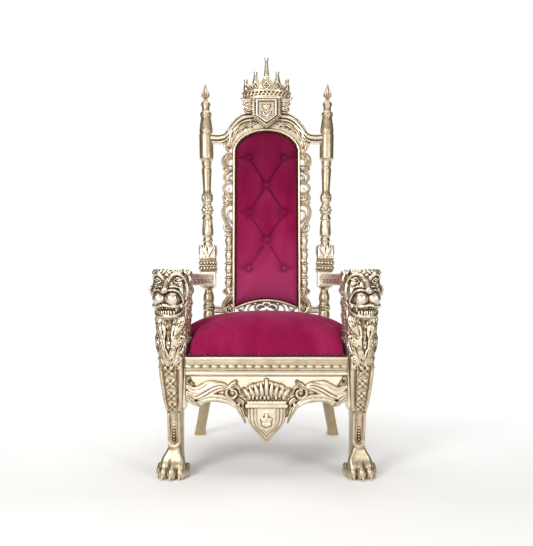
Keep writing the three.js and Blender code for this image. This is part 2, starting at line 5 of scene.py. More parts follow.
import bmesh
import bpy
import numpy as np
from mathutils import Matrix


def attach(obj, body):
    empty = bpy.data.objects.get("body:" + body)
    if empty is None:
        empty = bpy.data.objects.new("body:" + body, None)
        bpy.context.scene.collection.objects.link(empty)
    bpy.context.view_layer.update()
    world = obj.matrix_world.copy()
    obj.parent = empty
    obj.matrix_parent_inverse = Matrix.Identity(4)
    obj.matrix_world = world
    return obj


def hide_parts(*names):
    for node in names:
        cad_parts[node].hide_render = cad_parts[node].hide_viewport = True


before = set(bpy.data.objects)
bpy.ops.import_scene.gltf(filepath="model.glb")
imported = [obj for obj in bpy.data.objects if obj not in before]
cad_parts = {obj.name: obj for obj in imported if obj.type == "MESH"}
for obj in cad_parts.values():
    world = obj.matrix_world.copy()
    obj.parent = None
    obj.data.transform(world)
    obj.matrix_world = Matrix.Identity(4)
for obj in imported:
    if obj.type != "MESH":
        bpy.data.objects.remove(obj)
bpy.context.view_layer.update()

import openvdb
from mathutils import Matrix, Vector

MM = 0.001
FACING_FRONT = (0.0, -1.0, 0.0)
FAR = 12.0  # distance stored where nothing is near
SLOPED = 0.85  # a gap in radius overstates the distance where a turned form's sides slope

# The leaning back and the turned legs stand where the solids have them.
RAIL_TOP = 448.0
RAIL_FRONT = -318.0
BACK_Y = 245.0
BACK_LEAN = math.radians(-4)
BACK_PLACE = Matrix.Translation((0, BACK_Y, RAIL_TOP)) @ Matrix.Rotation(BACK_LEAN, 4, "X")
POST_X = 262.0
POST_SPLAY = math.radians(1.3)
POST_PLACE = BACK_PLACE @ Matrix.Translation((-POST_X, 0, 0)) @ Matrix.Rotation(-POST_SPLAY, 4, "Y")
LEG_X, LEG_Y, LEG_TURN = 350.0, -285.0, math.radians(10)
LEG_PLACE = Matrix.Translation((-LEG_X, LEG_Y, 0)) @ Matrix.Rotation(-LEG_TURN, 4, "Z")
MIRROR = Matrix.Scale(-1, 4, (1, 0, 0))

PANEL_HALF, PANEL_SPRING, PANEL_TOP, PANEL_BOTTOM = 145.0, 886.0, 986.0, 166.0
RIM = 14.0
FRAME_HALF = 14.0
SEAT_BASE = 449.0
BUTTONS = [(-82, 860), (82, 860), (0, 728), (-82, 598), (82, 598), (0, 468), (-82, 338), (82, 338)]


# ------------------------------------------------------------------ finishes
def linear(hex_colour):
    """Linear red, green, blue and alpha of an sRGB hex colour."""
    parts = [int(hex_colour[i:i + 2], 16) / 255 for i in (1, 3, 5)]
    return (*[c / 12.92 if c <= 0.04045 else ((c + 0.055) / 1.055) ** 2.4 for c in parts], 1.0)


def add_node(tree, kind, links=None, **settings):
    """A node of that kind. Settings are properties or input values, and links go into its inputs."""
    node = tree.nodes.new(kind)
    for name, value in settings.items():
        if name in node.inputs:
            node.inputs[name].default_value = value
        else:
            setattr(node, name, value)
    for name, source in (links or {}).items():
        tree.links.new(source, node.inputs[name])
    return node


def new_finish(name, **surface):
    """A material, its nodes and its shader, with the shader's sockets set."""
    finish = bpy.data.materials.new(name)
    finish.use_nodes = True
    shader = finish.node_tree.nodes["Principled BSDF"]
    for socket, value in surface.items():
        shader.inputs[socket.replace("_", " ")].default_value = value
    return finish, finish.node_tree, shader


def ramp(tree, source, stops):
    """A colour ramp with a stop for each (place, colour)."""
    node = add_node(tree, "ShaderNodeValToRGB", {"Fac": source})
    elements = node.color_ramp.elements
    while len(elements) < len(stops):
        elements.new(0.5)
    for element, (place, colour) in zip(elements, stops):
        element.position = place
        element.color = colour
    return node


def grey(value):
    return (value, value, value, 1.0)


def gilded_mahogany(name, ridge="#F6F1E6", middle="#D0C3AA", low="#927757", pit="#472E1A", rough=0.3):
    """Champagne gold paint over carved mahogany: pale on the ridges, where a highlight is painted, with brown
    glaze in the hollows.
    """
    finish, tree, shader = new_finish(name, IOR=1.5)
    place = add_node(tree, "ShaderNodeTexCoord").outputs["Object"]
    # cloudy unevenness of brushed metallic paint, patches of about 40 mm
    clouds = add_node(tree, "ShaderNodeTexNoise", {"Vector": place}, Scale=26.0, Detail=5.0, Roughness=0.62)
    # glaze left in the carving, from the hollow value of the shape itself; that value also holds a painted
    # highlight on ridges and painted shade by height
    depth = add_node(tree, "ShaderNodeAttribute", attribute_name="hollow")
    patchy = add_node(tree, "ShaderNodeMath", {0: clouds.outputs["Fac"]}, operation="MULTIPLY_ADD")
    patchy.inputs[1].default_value = 0.3
    patchy.inputs[2].default_value = 0.13
    glaze_and_painted_light = add_node(tree, "ShaderNodeMath", {0: depth.outputs["Fac"]}, operation="MULTIPLY_ADD")
    glaze_and_painted_light.inputs[1].default_value = 0.62
    tree.links.new(patchy.outputs[0], glaze_and_painted_light.inputs[2])
    tone = ramp(tree, glaze_and_painted_light.outputs[0], [
        (0.1, linear(ridge)), (0.34, linear(middle)), (0.58, linear(low)), (0.86, linear(pit))])
    tree.links.new(tone.outputs["Color"], shader.inputs["Base Color"])
    # satin paint, duller where the glaze lies
    dull = ramp(tree, glaze_and_painted_light.outputs[0], [(0.2, grey(rough)), (0.9, grey(0.65))])
    tree.links.new(dull.outputs["Color"], shader.inputs["Roughness"])
    metal = ramp(tree, glaze_and_painted_light.outputs[0], [(0.4, grey(0.95)), (0.85, grey(0.2))])
    tree.links.new(metal.outputs["Color"], shader.inputs["Metallic"])
    # fine brush and tool marks, 2 to 4 mm apart
    marks = add_node(tree, "ShaderNodeTexNoise", {"Vector": place}, Scale=320.0, Detail=3.0, Roughness=0.55)
    bump = add_node(tree, "ShaderNodeBump", {"Height": marks.outputs["Fac"]}, Strength=0.2, Distance=0.0007)
    tree.links.new(bump.outputs["Normal"], shader.inputs["Normal"])
    return finish


def crimson_velvet(name, pile="#931448", shade="#820A3B", nap="#9E2A58"):
    """Cotton velvet: deep crimson pile whose nap turns pink in patches, with painted shade and painted light
    laid over it.
    """
    finish, tree, shader = new_finish(
        name, Roughness=0.85, IOR=1.45, Sheen_Weight=0.3, Sheen_Roughness=0.42,
        Sheen_Tint=linear("#C77BA0"), Specular_IOR_Level=0.1)
    place = add_node(tree, "ShaderNodeTexCoord").outputs["Object"]
    # broad brushed patches, stretched upwards, about 70 by 200 mm
    along = add_node(tree, "ShaderNodeMapping", {"Vector": place})
    along.inputs["Scale"].default_value = (1.0, 1.0, 0.35)
    patches = add_node(tree, "ShaderNodeTexNoise", {"Vector": along.outputs["Vector"]},
                       Scale=14.0, Detail=3.0)
    tone = ramp(tree, patches.outputs["Fac"], [
        (0.25, linear(shade)), (0.5, linear(pile)), (0.8, linear(nap))])
    depth = add_node(tree, "ShaderNodeAttribute", attribute_name="hollow")
    # painted shade: the seat a little darker, and the back darker towards its top
    height = add_node(tree, "ShaderNodeSeparateXYZ", {"Vector": place})
    raised = add_node(tree, "ShaderNodeMath", {0: height.outputs["Z"]}, operation="MULTIPLY")
    raised.inputs[1].default_value = 0.6
    upper = ramp(tree, raised.outputs[0], [
        (0.35, grey(0.24)), (0.39, grey(0.0)), (0.52, grey(0.1)), (0.8, grey(0.62))])
    # painted shade from the creases and painted shade by height mix the pile towards a dark crimson
    shaded = add_node(tree, "ShaderNodeMath", {0: depth.outputs["Fac"], 1: upper.outputs["Color"]},
                      operation="ADD")
    mixed = add_node(tree, "ShaderNodeMix", {"Factor": shaded.outputs[0]}, data_type="RGBA")
    # painted light: pinker and lighter low down on the back
    pink = ramp(tree, raised.outputs[0], [
        (0.35, grey(0.0)), (0.39, grey(0.5)), (0.46, grey(0.32)), (0.58, grey(0.0))])
    painted_light_low = add_node(tree, "ShaderNodeMix", {"Factor": pink.outputs["Color"]}, data_type="RGBA")
    tree.links.new(tone.outputs["Color"], painted_light_low.inputs[6])
    painted_light_low.inputs[7].default_value = linear("#B04A7C")
    tree.links.new(painted_light_low.outputs[2], mixed.inputs[6])
    mixed.inputs[7].default_value = linear("#470320")
    tree.links.new(mixed.outputs[2], shader.inputs["Base Color"])
    # pile of about half a millimetre
    fibres = add_node(tree, "ShaderNodeTexNoise", {"Vector": place}, Scale=1700.0, Detail=2.0)
    bump = add_node(tree, "ShaderNodeBump", {"Height": fibres.outputs["Fac"]}, Strength=0.25, Distance=0.0005)
    tree.links.new(bump.outputs["Normal"], shader.inputs["Normal"])
    return finish


def plain_board(name):
    """Oiled plywood under the seat, with a faint long grain."""
    finish, tree, shader = new_finish(name, Roughness=0.65, IOR=1.5)
    place = add_node(tree, "ShaderNodeTexCoord").outputs["Object"]
    grain = add_node(tree, "ShaderNodeTexNoise", {"Vector": place}, Scale=40.0, Detail=6.0, Distortion=1.5)
    tone = ramp(tree, grain.outputs["Fac"], [(0.3, linear("#3B2617")), (0.7, linear("#5A3D27"))])
    tree.links.new(tone.outputs["Color"], shader.inputs["Base Color"])
    return finish


GILT = gilded_mahogany("gilded_carved_mahogany")
# darker copy of the gilding for the rear legs and rail: painted shade
REAR_SHADED_GILT = gilded_mahogany("thin_gilding_over_brown", "#D2C5A9", "#B3A07D", "#8A7250", "#452D1A", 0.42)
BRASS_NAILS = gilded_mahogany("dark_brass_nail_heads", "#7A6238", "#574223", "#3A2A14", "#20140A", 0.4)
VELVET = crimson_velvet("crimson_velvet")
BOARD = plain_board("oiled_seat_board")


# ------------------------------------------------------------------ carving
def curve(points, per_span=8):
    """Smooth, evenly stepped run of points through the given ones."""
    p = np.array(points, float)
    if len(p) == 2:
        return np.linspace(p[0], p[1], 3)
    ends = np.vstack([2 * p[0] - p[1], p, 2 * p[-1] - p[-2]])
    t = np.linspace(0, 1, per_span, endpoint=False)[:, None]
    spans = []
    for i in range(len(p) - 1):
        a, b, c, d = ends[i:i + 4]
        cubic = (2 * b) + (c - a) * t + (2 * a - 5 * b + 4 * c - d) * t**2 + (3 * b - a - 3 * c + d) * t**3
        spans.append(0.5 * cubic)
    return np.vstack([*spans, p[-1:]])


def unit(v):
    """The same directions, one long."""
    v = np.asarray(v, float)
    return v / np.maximum(np.linalg.norm(v, axis=-1, keepdims=True), 1e-9)


def smooth_min(a, b, soft):
    """The nearer of two distances, with the join rounded over that many millimetres."""
    if soft <= 0:
        return np.minimum(a, b)
    h = np.maximum(soft - np.abs(a - b), 0) / soft
    return np.minimum(a, b) - h * h * soft * 0.25


def polygon_distance(outline, X, Z):
    """Signed distance to a closed outline in X and Z, negative inside."""
    p = np.asarray(outline, float)
    best = np.full(np.broadcast(X, Z).shape, 1e9)
    inside = np.zeros(best.shape, bool)
    for (x0, z0), (x1, z1) in zip(p, np.roll(p, -1, axis=0)):
        ex, ez = x1 - x0, z1 - z0
        wx, wz = X - x0, Z - z0
        t = np.clip((wx * ex + wz * ez) / max(ex * ex + ez * ez, 1e-9), 0, 1)
        best = np.minimum(best, (wx - t * ex) ** 2 + (wz - t * ez) ** 2)
        if z0 != z1:
            inside ^= ((z0 > Z) != (z1 > Z)) & (X < ex * (Z - z0) / ez + x0)
    return np.where(inside, -1, 1) * np.sqrt(best)


class Carving:
    """A piece being carved: distances to its surface, in millimetres, on an even grid."""

    def __init__(self, low, high, step):
        self.low = np.array(low, float)
        self.step = float(step)
        count = np.ceil((np.array(high, float) - self.low) / step).astype(int) + 1
        self.axes = [self.low[i] + step * np.arange(count[i]) for i in range(3)]
        self.field = np.full(count, FAR, np.float32)
        self.sides = (1,)
        self.turn = 0.0  # extra turn about Z given to every form that follows
        self.bold = 1.0  # how much heavier than written the scrolls are cut
        self.bed = None  # surface as it was when the bed was taken, for ornament that is laid on it

    def take_bed(self):
        """Keeps the surface as it is now, for ornament to lie on."""
        self.bed = self.field.copy()

    def lay(self, line, n, lift):
        """Slides points along n until they lie on the bed, and then lifts them off it."""
        p = line + n * 24
        for _ in range(30):
            p = p - n * np.clip(self.distances(p, self.bed), -2, 6)[:, None]
        missed = (np.abs(self.distances(p, self.bed)) > 1.5) | (np.linalg.norm(p - line, axis=1) > 24)
        return np.where(missed[:, None], line - n * 16, p + n * lift)

    def at(self, points, side=1):
        """The points on that side of the middle, with the extra turn."""
        p = np.array(points, float) * (side, 1, 1)
        if self.turn:
            c, s = math.cos(self.turn), math.sin(self.turn)
            p = np.stack([p[..., 0] * c - p[..., 1] * s, p[..., 0] * s + p[..., 1] * c, p[..., 2]], axis=-1)
        return p

    def blend(self, low, high, shape, soft=3.0, cut=False):
        """Adds the form, or cuts it away, with a softened join."""
        spans = []
        for i in range(3):
            room = abs(soft) + 2 * self.step
            a = max(int((low[i] - room - self.low[i]) // self.step), 0)
            b = min(int((high[i] + room - self.low[i]) // self.step) + 2, len(self.axes[i]))
            if b <= a:
                return
            spans.append(slice(a, b))
        spans = tuple(spans)
        X = self.axes[0][spans[0]][:, None, None]
        Y = self.axes[1][spans[1]][None, :, None]
        Z = self.axes[2][spans[2]][None, None, :]
        form = shape(X, Y, Z).astype(np.float32)
        part = self.field[spans]
        self.field[spans] = -smooth_min(-part, form, soft) if cut else smooth_min(part, form, soft)

    def ball(self, centre, radii, soft=3.0, cut=False):
        """An egg with its three radii along X, Y and Z."""
        r = np.array(radii if np.ndim(radii) else (radii,) * 3, float)
        for side in self.sides:
            c = self.at(centre, side)

            def shape(X, Y, Z):
                qx, qy, qz = (X - c[0]) / r[0], (Y - c[1]) / r[1], (Z - c[2]) / r[2]
                k0 = np.sqrt(qx * qx + qy * qy + qz * qz)
                k1 = np.sqrt((qx / r[0]) ** 2 + (qy / r[1]) ** 2 + (qz / r[2]) ** 2)
                return k0 * (k0 - 1) / np.maximum(k1, 1e-4)
            self.blend(c - r, c + r, shape, soft, cut)

    def block(self, low, high, soft=3.0, cut=False, edge=2.0):
        """A box between two corners, with rounded edges."""
        low, high = np.array(low, float), np.array(high, float)
        centre, half = (low + high) / 2, (high - low) / 2 - edge

        def shape(X, Y, Z):
            q = [np.abs(V - centre[i]) - half[i] for i, V in enumerate((X, Y, Z))]
            outside = np.sqrt(sum(np.maximum(v, 0) ** 2 for v in q))
            return outside + np.minimum(np.maximum(np.maximum(q[0], q[1]), q[2]), 0) - edge
        self.blend(low, high, shape, soft, cut)

    def strand(self, points, radii, soft=3.0, cut=False, facing=FACING_FRONT, flat=1.0, smooth=True,
               lift=None):
        """A rounded strand through the points. flat scales its thickness towards the facing side, and
        with a lift it lies on the bed."""
        run = curve(points) if smooth else np.array(points, float)
        along = np.linspace(0, 1, len(run))
        r = np.interp(along, np.linspace(0, 1, len(radii)), radii)
        squash = 1 / flat**2 - 1
        for side in self.sides:
            line = self.at(run, side)
            n = unit(self.at(facing, side))
            if lift is not None:
                line = self.lay(line, n, lift)
            reach = r.max() * max(1.0, flat)
            low, high = line.min(axis=0) - reach, line.max(axis=0) + reach

            def shape(X, Y, Z):
                best = np.full(np.broadcast(X, Y, Z).shape, FAR)
                for a, b, ra, rb in zip(line[:-1], line[1:], r[:-1], r[1:]):
                    s = b - a
                    ms = s + squash * (s @ n) * n
                    length = max(s @ ms, 1e-9)
                    room = max(ra, rb) * max(1.0, flat) + abs(soft) + 3 * self.step
                    cell = []
                    for i, V in enumerate((X, Y, Z)):
                        ends = min(a[i], b[i]) - room, max(a[i], b[i]) + room
                        cell.append(slice(*np.searchsorted(V.ravel(), ends)))
                    x = X[cell[0]] - a[0]
                    y = Y[:, cell[1]] - a[1]
                    z = Z[:, :, cell[2]] - a[2]
                    t = np.clip((x * ms[0] + y * ms[1] + z * ms[2]) / length, 0, 1)
                    x, y, z = x - t * s[0], y - t * s[1], z - t * s[2]
                    across = x * n[0] + y * n[1] + z * n[2]
                    gap = np.sqrt(np.maximum(x * x + y * y + z * z + squash * across**2, 0))
                    d = gap - (ra + (rb - ra) * t)
                    cell = tuple(cell)
                    best[cell] = np.minimum(best[cell], d)
                return best
            self.blend(low, high, shape, soft, cut)

    def limb(self, sections, power=2.7, soft=4.0):
        """Rounded square sections in a stack: [z, centre x, centre y, half width, half depth]."""
        rows = curve(sections, 10)
        low = (-300, -300, rows[:, 0].min())
        high = (300, 300, rows[:, 0].max())

        def shape(X, Y, Z):
            cx, cy, hw, hd = (np.interp(Z, rows[:, 0], rows[:, i]) for i in (1, 2, 3, 4))
            q = (np.abs((X - cx) / hw) ** power + np.abs((Y - cy) / hd) ** power) ** (1 / power)
            return np.maximum((q - 1) * np.minimum(hw, hd), np.maximum(rows[0, 0] - Z, Z - rows[-1, 0]))
        self.blend(low, high, shape, soft)

    def plate(self, outline, y0, y1, soft=3.0, cut=False, edge=2.0):
        """A standing plate: an outline in X and Z, from y0 to y1, with softened edges."""
        for side in self.sides:
            p = np.array(outline, float) * (side, 1)

            def shape(X, Y, Z):
                flat = polygon_distance(p, X[:, 0], Z[0])[:, None, :]
                return -smooth_min(-flat, -np.maximum(y0 - Y, Y - y1), edge)
            low, high = p.min(axis=0), p.max(axis=0)
            self.blend((low[0], y0, low[1]), (high[0], y1, high[1]), shape, soft, cut)

    def turned(self, profile):
        """A turned form about the Z axis, from [radius, height] pairs."""
        p = np.array(profile, float)

        def shape(X, Y, Z):
            r = np.interp(Z, p[:, 1], p[:, 0])
            return np.maximum((np.sqrt(X * X + Y * Y) - r) * SLOPED, np.maximum(p[0, 1] - Z, Z - p[-1, 1]))
        reach = p[:, 0].max()
        self.blend((-reach, -reach, p[0, 1]), (reach, reach, p[-1, 1]), shape, 0)

    # ---- ornament in the carver's own words
    def scroll(self, points, radii, y=0.0, flat=1.0, groove=True):
        """Scrollwork in the X-Z plane at depth y, with a sunk line along its front."""
        run = np.array([(x, y, z) for x, z in points], float)
        radii = [v * self.bold for v in radii]
        self.strand(run, radii, 2.5, flat=flat)
        if groove:
            r = np.interp(np.linspace(0, 1, len(run)), np.linspace(0, 1, len(radii)), radii)
            line = run - np.outer(r * flat * 0.98, (0, 1, 0))
            self.strand(line, [max(v * 0.2, 0.9) for v in radii], 1.0, cut=True)

    def leaf(self, points, width, facing=FACING_FRONT, lobes=4, soft=2.0):
        """Acanthus leaf: lobes leave a midrib in pairs and lean towards the tip, with a sunk vein."""
        run = curve(points, 10)
        n = unit(facing)
        thick = 0.45
        tangent = unit(np.gradient(run, axis=0))
        across = unit(np.cross(tangent, n))
        self.strand(run, [width * 0.3, width * 0.34, width * 0.26, width * 0.1], soft, facing=n,
                    flat=thick * 1.5)
        for i in range(lobes):
            t = 0.1 + 0.72 * i / max(lobes - 1, 1)
            k = int(t * (len(run) - 1))
            swell = math.sin(math.pi * (0.28 + 0.62 * t))
            for way in (-1, 1):
                spread = way * across[k] * width * swell
                mid = run[k] + spread * 0.6 + tangent[k] * width * 0.18
                tip = run[k] + spread * 0.9 + tangent[k] * width * 0.5
                self.strand([run[k], mid, tip], [width * 0.2, width * 0.23, width * 0.13], soft * 0.6,
                            facing=n, flat=thick, smooth=False)
        vein = run + n * (width * 0.5 * thick)
        self.strand(vein[1:-1], [width * 0.06, width * 0.05], 0.8, cut=True, facing=n, smooth=False)

    def tuft(self, points, width, facing=FACING_FRONT, grooves=2, lift=1.0, thick=0.5, root=0.24):
        """A tuft of hair laid on the bed: a flat tapering mass, with grooves that run to its tip."""
        run = curve(points, 6)
        t = np.linspace(0, 1, len(run))
        half = 0.5 * width * np.sin(np.pi * (root + (0.96 - root) * t)) ** 0.7 + 0.5
        self.strand(run, half, 1.0, facing=facing, flat=thick, smooth=False, lift=lift)
        across = unit(np.cross(np.gradient(run, axis=0), unit(facing)))
        for i in range(grooves):
            part = 2 * (i + 1) / (grooves + 1) - 1
            top = lift + thick * half * math.sqrt(1 - part * part)
            self.strand((run + across * (part * half)[:, None])[1:-1], [1.6, 2.6, 1.4], 0.5, cut=True,
                        facing=facing, smooth=False, lift=top[1:-1, None])

    def reeds(self, points, widths, y=0.0, ridges=3):
        """A frond of rounded reeds side by side along a line in X and Z, as broad as widths say."""
        run = curve([(x, y, z) for x, z in points], 6)
        t = np.linspace(0, 1, len(run))
        wide = np.interp(t, np.linspace(0, 1, len(widths)), widths)
        across = unit(np.cross(np.gradient(run, axis=0), (0, 1, 0)))
        for i in range(ridges):
            part = i / (ridges - 1) - 0.5
            line = run + across * (part * wide)[:, None] + (0, -3.0 * (1 - abs(2 * part)), 0)
            self.strand(line, wide / (ridges - 1) * 0.54 + 0.8, 1.0, smooth=False)
        for i in range(ridges - 1):
            line = run + across * (((i + 0.5) / (ridges - 1) - 0.5) * wide)[:, None]
            line = line - np.outer(wide / (ridges - 1) * 0.45 + 2, (0, 1, 0))
            self.strand(line, [1.4, 1.7, 1.2], 0.5, cut=True, smooth=False)

    def volute(self, cx, cz, radius, start, turns, thick, y=0.0, flat=1.0):
        """A spiral scroll that winds in to its eye. start is in degrees."""
        t = np.linspace(0, 1, int(14 * abs(turns)) + 6)
        angle = np.radians(start) + t * turns * 2 * np.pi
        r = radius * (1 - 0.78 * t)
        run = np.stack([cx + r * np.cos(angle), np.full_like(t, y), cz + r * np.sin(angle)], axis=1)
        self.strand(run, [thick, thick * 0.55], 1.5, flat=flat, smooth=False)
        self.ball((cx, y, cz), (thick * 0.8, thick * flat, thick * 0.8), 1.5)

    def rosette(self, x, y, z, radius, petals=4, start=0.0):
        """A flower facing the front: pointed petals with a vein each, and a boss."""
        for i in range(petals):
            a = math.radians(start) + 2 * math.pi * i / petals
            c, s = math.cos(a), math.sin(a)
            root, tip = (x + 3 * c, y, z + 3 * s), (x + radius * c, y + 1, z + radius * s)
            mid = (x + radius * 0.55 * c, y - 2, z + radius * 0.55 * s)
            self.strand([root, mid, tip], [radius * 0.22, radius * 0.36, radius * 0.08], 1.2, flat=0.55)
            self.strand([(x + 4 * c, y - 5, z + 4 * s), (x + radius * 0.8 * c, y - 4, z + radius * 0.8 * s)],
                        [0.9, 0.6], 0.8, cut=True, smooth=False)
        self.ball((x, y - 4, z), (radius * 0.3, radius * 0.3, radius * 0.3), 0.8)

    def distances(self, places, field=None):
        """Distance to the surface at any places, read off the grid."""
        field = self.field if field is None else field
        g = (places - self.low) / self.step
        top = np.array(field.shape) - 2
        base = np.clip(np.floor(g).astype(int), 0, top)
        f = np.clip(g - base, 0, 1)
        total = 0
        for dx in (0, 1):
            for dy in (0, 1):
                for dz in (0, 1):
                    weight = (np.abs(1 - dx - f[:, 0]) * np.abs(1 - dy - f[:, 1]) * np.abs(1 - dz - f[:, 2]))
                    total = total + weight * field[base[:, 0] + dx, base[:, 1] + dy, base[:, 2] + dz]
        return total

    def surface(self, even=False):
        """Points in millimetres, faces, and how hollow each point is: 1 in a pit, below 0 on a ridge, where a
        highlight is painted.
        """
        f = self.field
        f[[0, -1]] = FAR
        f[:, [0, -1]] = FAR
        f[:, :, [0, -1]] = FAR
        grid = openvdb.FloatGrid(background=FAR)
        grid.copyFromArray(f)
        if even:
            points, faces = grid.convertToQuads(isovalue=0.0)
        else:
            points, threes, fours = grid.convertToPolygons(isovalue=0.0, adaptivity=0.1)
            faces = np.vstack([threes, fours[:, [0, 1, 2]], fours[:, [0, 2, 3]]])
        points = self.low + self.step * points.astype(float)
        faces = faces.astype(int)
        corners = [points[faces[:, i]] for i in range(faces.shape[1])]
        normal = np.cross(corners[2] - corners[0], corners[-1] - corners[1])
        if not even:
            normal = np.cross(corners[1] - corners[0], corners[2] - corners[0])
        if np.einsum("ij,ij->", normal, sum(corners)) < 0:
            faces = faces[:, ::-1]
            normal = -normal
        at_point = np.zeros_like(points)
        for i in range(faces.shape[1]):
            for k in range(3):
                at_point[:, k] += np.bincount(faces[:, i], normal[:, k], len(points))
        n = unit(at_point)
        hollow = 0
        for reach, share in ((3.0, 0.45), (7.0, 0.55)):
            hollow = hollow + share * np.clip(1 - self.distances(points + n * reach) / reach, 0, 1)
        # painted highlight: thin ridges and edges are made paler than the gilding around them
        raised = np.clip(1 + self.distances(points - n * 4.0) / 4.0, 0, 1)
        return points, faces, np.clip(1.7 * hollow - 0.12, 0, 1) - 0.16 * raised


# ------------------------------------------------------------------ pieces
def add_piece(name, mesh, finish, nodes):
    """A finished piece on the one body, in the place of those solids."""
    piece = bpy.data.objects.new(name, mesh)
    bpy.context.scene.collection.objects.link(piece)
    mesh.materials.clear()
    mesh.materials.append(finish)
    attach(piece, "root")
    if nodes:
        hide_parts(*nodes)
    return piece


def placed(points, place):
    """The points where that place puts them."""
    matrix = np.array(place)
    return np.asarray(points, float) @ matrix[:3, :3].T + matrix[:3, 3]


def make_mesh(name, points, faces, hollow, place=Matrix.Identity(4)):
    """A smooth mesh from points in millimetres. A mirroring place turns the faces over."""
    points = placed(points, place)
    faces = np.asarray(faces)
    if place.determinant() < 0:
        faces = faces[:, ::-1]
    mesh = bpy.data.meshes.new(name)
    mesh.vertices.add(len(points))
    mesh.vertices.foreach_set("co", (points * MM).astype(np.float32).ravel())
    sides = faces.shape[1]
    mesh.loops.add(faces.size)
    mesh.loops.foreach_set("vertex_index", faces.astype(np.int32).ravel())
    mesh.polygons.add(len(faces))
    mesh.polygons.foreach_set("loop_start", np.arange(0, faces.size, sides, dtype=np.int32))
    mesh.polygons.foreach_set("use_smooth", np.ones(len(faces), bool))
    mesh.update(calc_edges=True)
    layer = mesh.attributes.new("hollow", "FLOAT", "POINT")
    layer.data.foreach_set("value", np.asarray(hollow, np.float32))
    mesh.validate()
    return mesh


def gilt_pieces(carving, name, nodes, places, glaze_and_painted_light=((0, 0), (1, 0))):
    """One gilded piece for each place, all from one carving. glaze_and_painted_light gives painted shade by
    height: how much darker each height is.
    """
    points, faces, hollow = carving.surface()
    hollow = hollow + np.interp(points[:, 2], *np.transpose(glaze_and_painted_light))
    for suffix, place in places:
        mesh = make_mesh(name + suffix, points, faces, hollow, place)
        add_piece(name + suffix, mesh, GILT, [n + suffix for n in nodes])


BOTH_LEGS = (("_left", LEG_PLACE), ("_right", MIRROR @ LEG_PLACE))
BOTH_POSTS = (("_left", POST_PLACE), ("_right", MIRROR @ POST_PLACE))
BOTH_STILES = (("_left", BACK_PLACE), ("_right", MIRROR @ BACK_PLACE))
ONE_BACK = (("", BACK_PLACE),)
ONE = (("", Matrix.Identity(4)),)


# ------------------------------------------------------------------ lion legs
def carve_lion_head(c):
    """Lion with a square jaw, round whisker pads, almond eyes and a flat crown."""
    c.sides = (1,)
    c.turn = math.radians(-4)
    c.limb([
        [584, 0, -30, 24, 30], [602, 0, -40, 38, 30], [634, 0, -42, 43, 34], [664, 0, -40, 46, 38],
        [692, 0, -42, 32, 33], [722, 0, -38, 24, 24], [758, 0, -36, 26, 22]], 2.3, 8)
    c.ball((0, -18, 744), (62, 44, 26), 6)  # skull
    c.strand([(0, -88, 692), (0, -79, 710), (0, -64, 730), (0, -50, 752)], [12, 11, 13, 17], 7)  # bridge
    c.sides = (1, -1)
    c.ball((24.5, -73, 663), (27, 26, 27), 2.5)  # whisker pad
    c.ball((52, -36, 688), (14, 26, 34), 6)  # cheekbone
    c.strand([(64, -30, 716), (66, -28, 690), (63, -34, 662)], [7, 9, 6], 4)  # smooth strip beside it
    c.ball((40, -44, 716), (17, 12, 12), 5)
    c.sides = (1,)
    c.ball((0, -91, 693), (17, 12, 9), 3)  # nose leather
    c.ball((0, -72, 642), (16, 22, 7), 3)
    c.ball((0, -66, 738), (7, 9, 9), 6, cut=True)  # hollow between the brows
    c.sides = (1, -1)
    # folds round the whisker pads
    c.strand([(9, -88, 690), (28, -86, 696), (48, -70, 688), (58, -52, 662), (57, -44, 640)],
             [3, 3.6, 4.2, 4.4, 3.6], 2)
    c.strand([(14, -74, 706), (32, -70, 708), (50, -56, 702)], [3, 4, 3], 2)
    # brow from the bridge up over the eye and down beside it
    c.strand([(9, -64, 728), (17, -69, 744), (36, -66, 755), (56, -50, 746), (64, -34, 724)],
             [6, 7, 8, 6, 4], 3.5)
    c.ball((40, -58, 731), (14, 8, 9), 4, cut=True)  # socket
    c.ball((40, -48, 731), (12, 10.5, 8), 0.8)  # eyeball
    c.strand([(25, -56, 726), (38, -59, 721), (53, -48, 724)], [3, 3.4, 2.6], 1)
    c.strand([(25, -57, 729), (39, -60, 740), (54, -48, 734)], [2.6, 3.2, 2.6], 1)
    # lips, jaw corners and chin
    c.strand([(0, -94, 641), (22, -90, 637), (42, -72, 636), (56, -48, 643)], [5, 5.5, 5.5, 6], 2)
    c.strand([(0, -82, 600), (24, -77, 600), (44, -56, 606), (54, -38, 620)], [6.5, 6.5, 6, 5], 2.5)
    c.ball((53, -54, 637), (9, 9, 9), 2)
    c.ball((64, 2, 748), (11, 16, 16), 3)  # ear
    c.ball((71, -6, 750), (6, 7, 9), 2, cut=True)
    c.ball((8, -102, 691), (3.6, 4, 2.6), 1, cut=True)  # nostril
    c.sides = (1,)
    c.strand([(0, -104, 687), (0, -101, 668), (0, -98, 646)], [1.8, 2, 2.6], 1.5, cut=True)
    # open mouth
    c.ball((0, -72, 618.5), (46, 42, 9.5), 2, cut=True)
    c.block((-34, -66, 602), (34, -36, 612), 1)
    c.sides = (1, -1)
    for i in range(4):
        x = 4.5 + 9 * i
        deep = -83 + 0.0125 * x * x
        c.ball((x, deep, 612), (4.2, 4, 10), 0.6)
        if i < 3:
            c.ball((x + 4, deep - 1, 630), (3.6, 3.6, 4.5), 0.6)
    c.strand([(39, -69, 634), (39, -68, 622), (38, -66, 613)], [5, 4, 1.4], 0.8)
    c.turn = 0.0


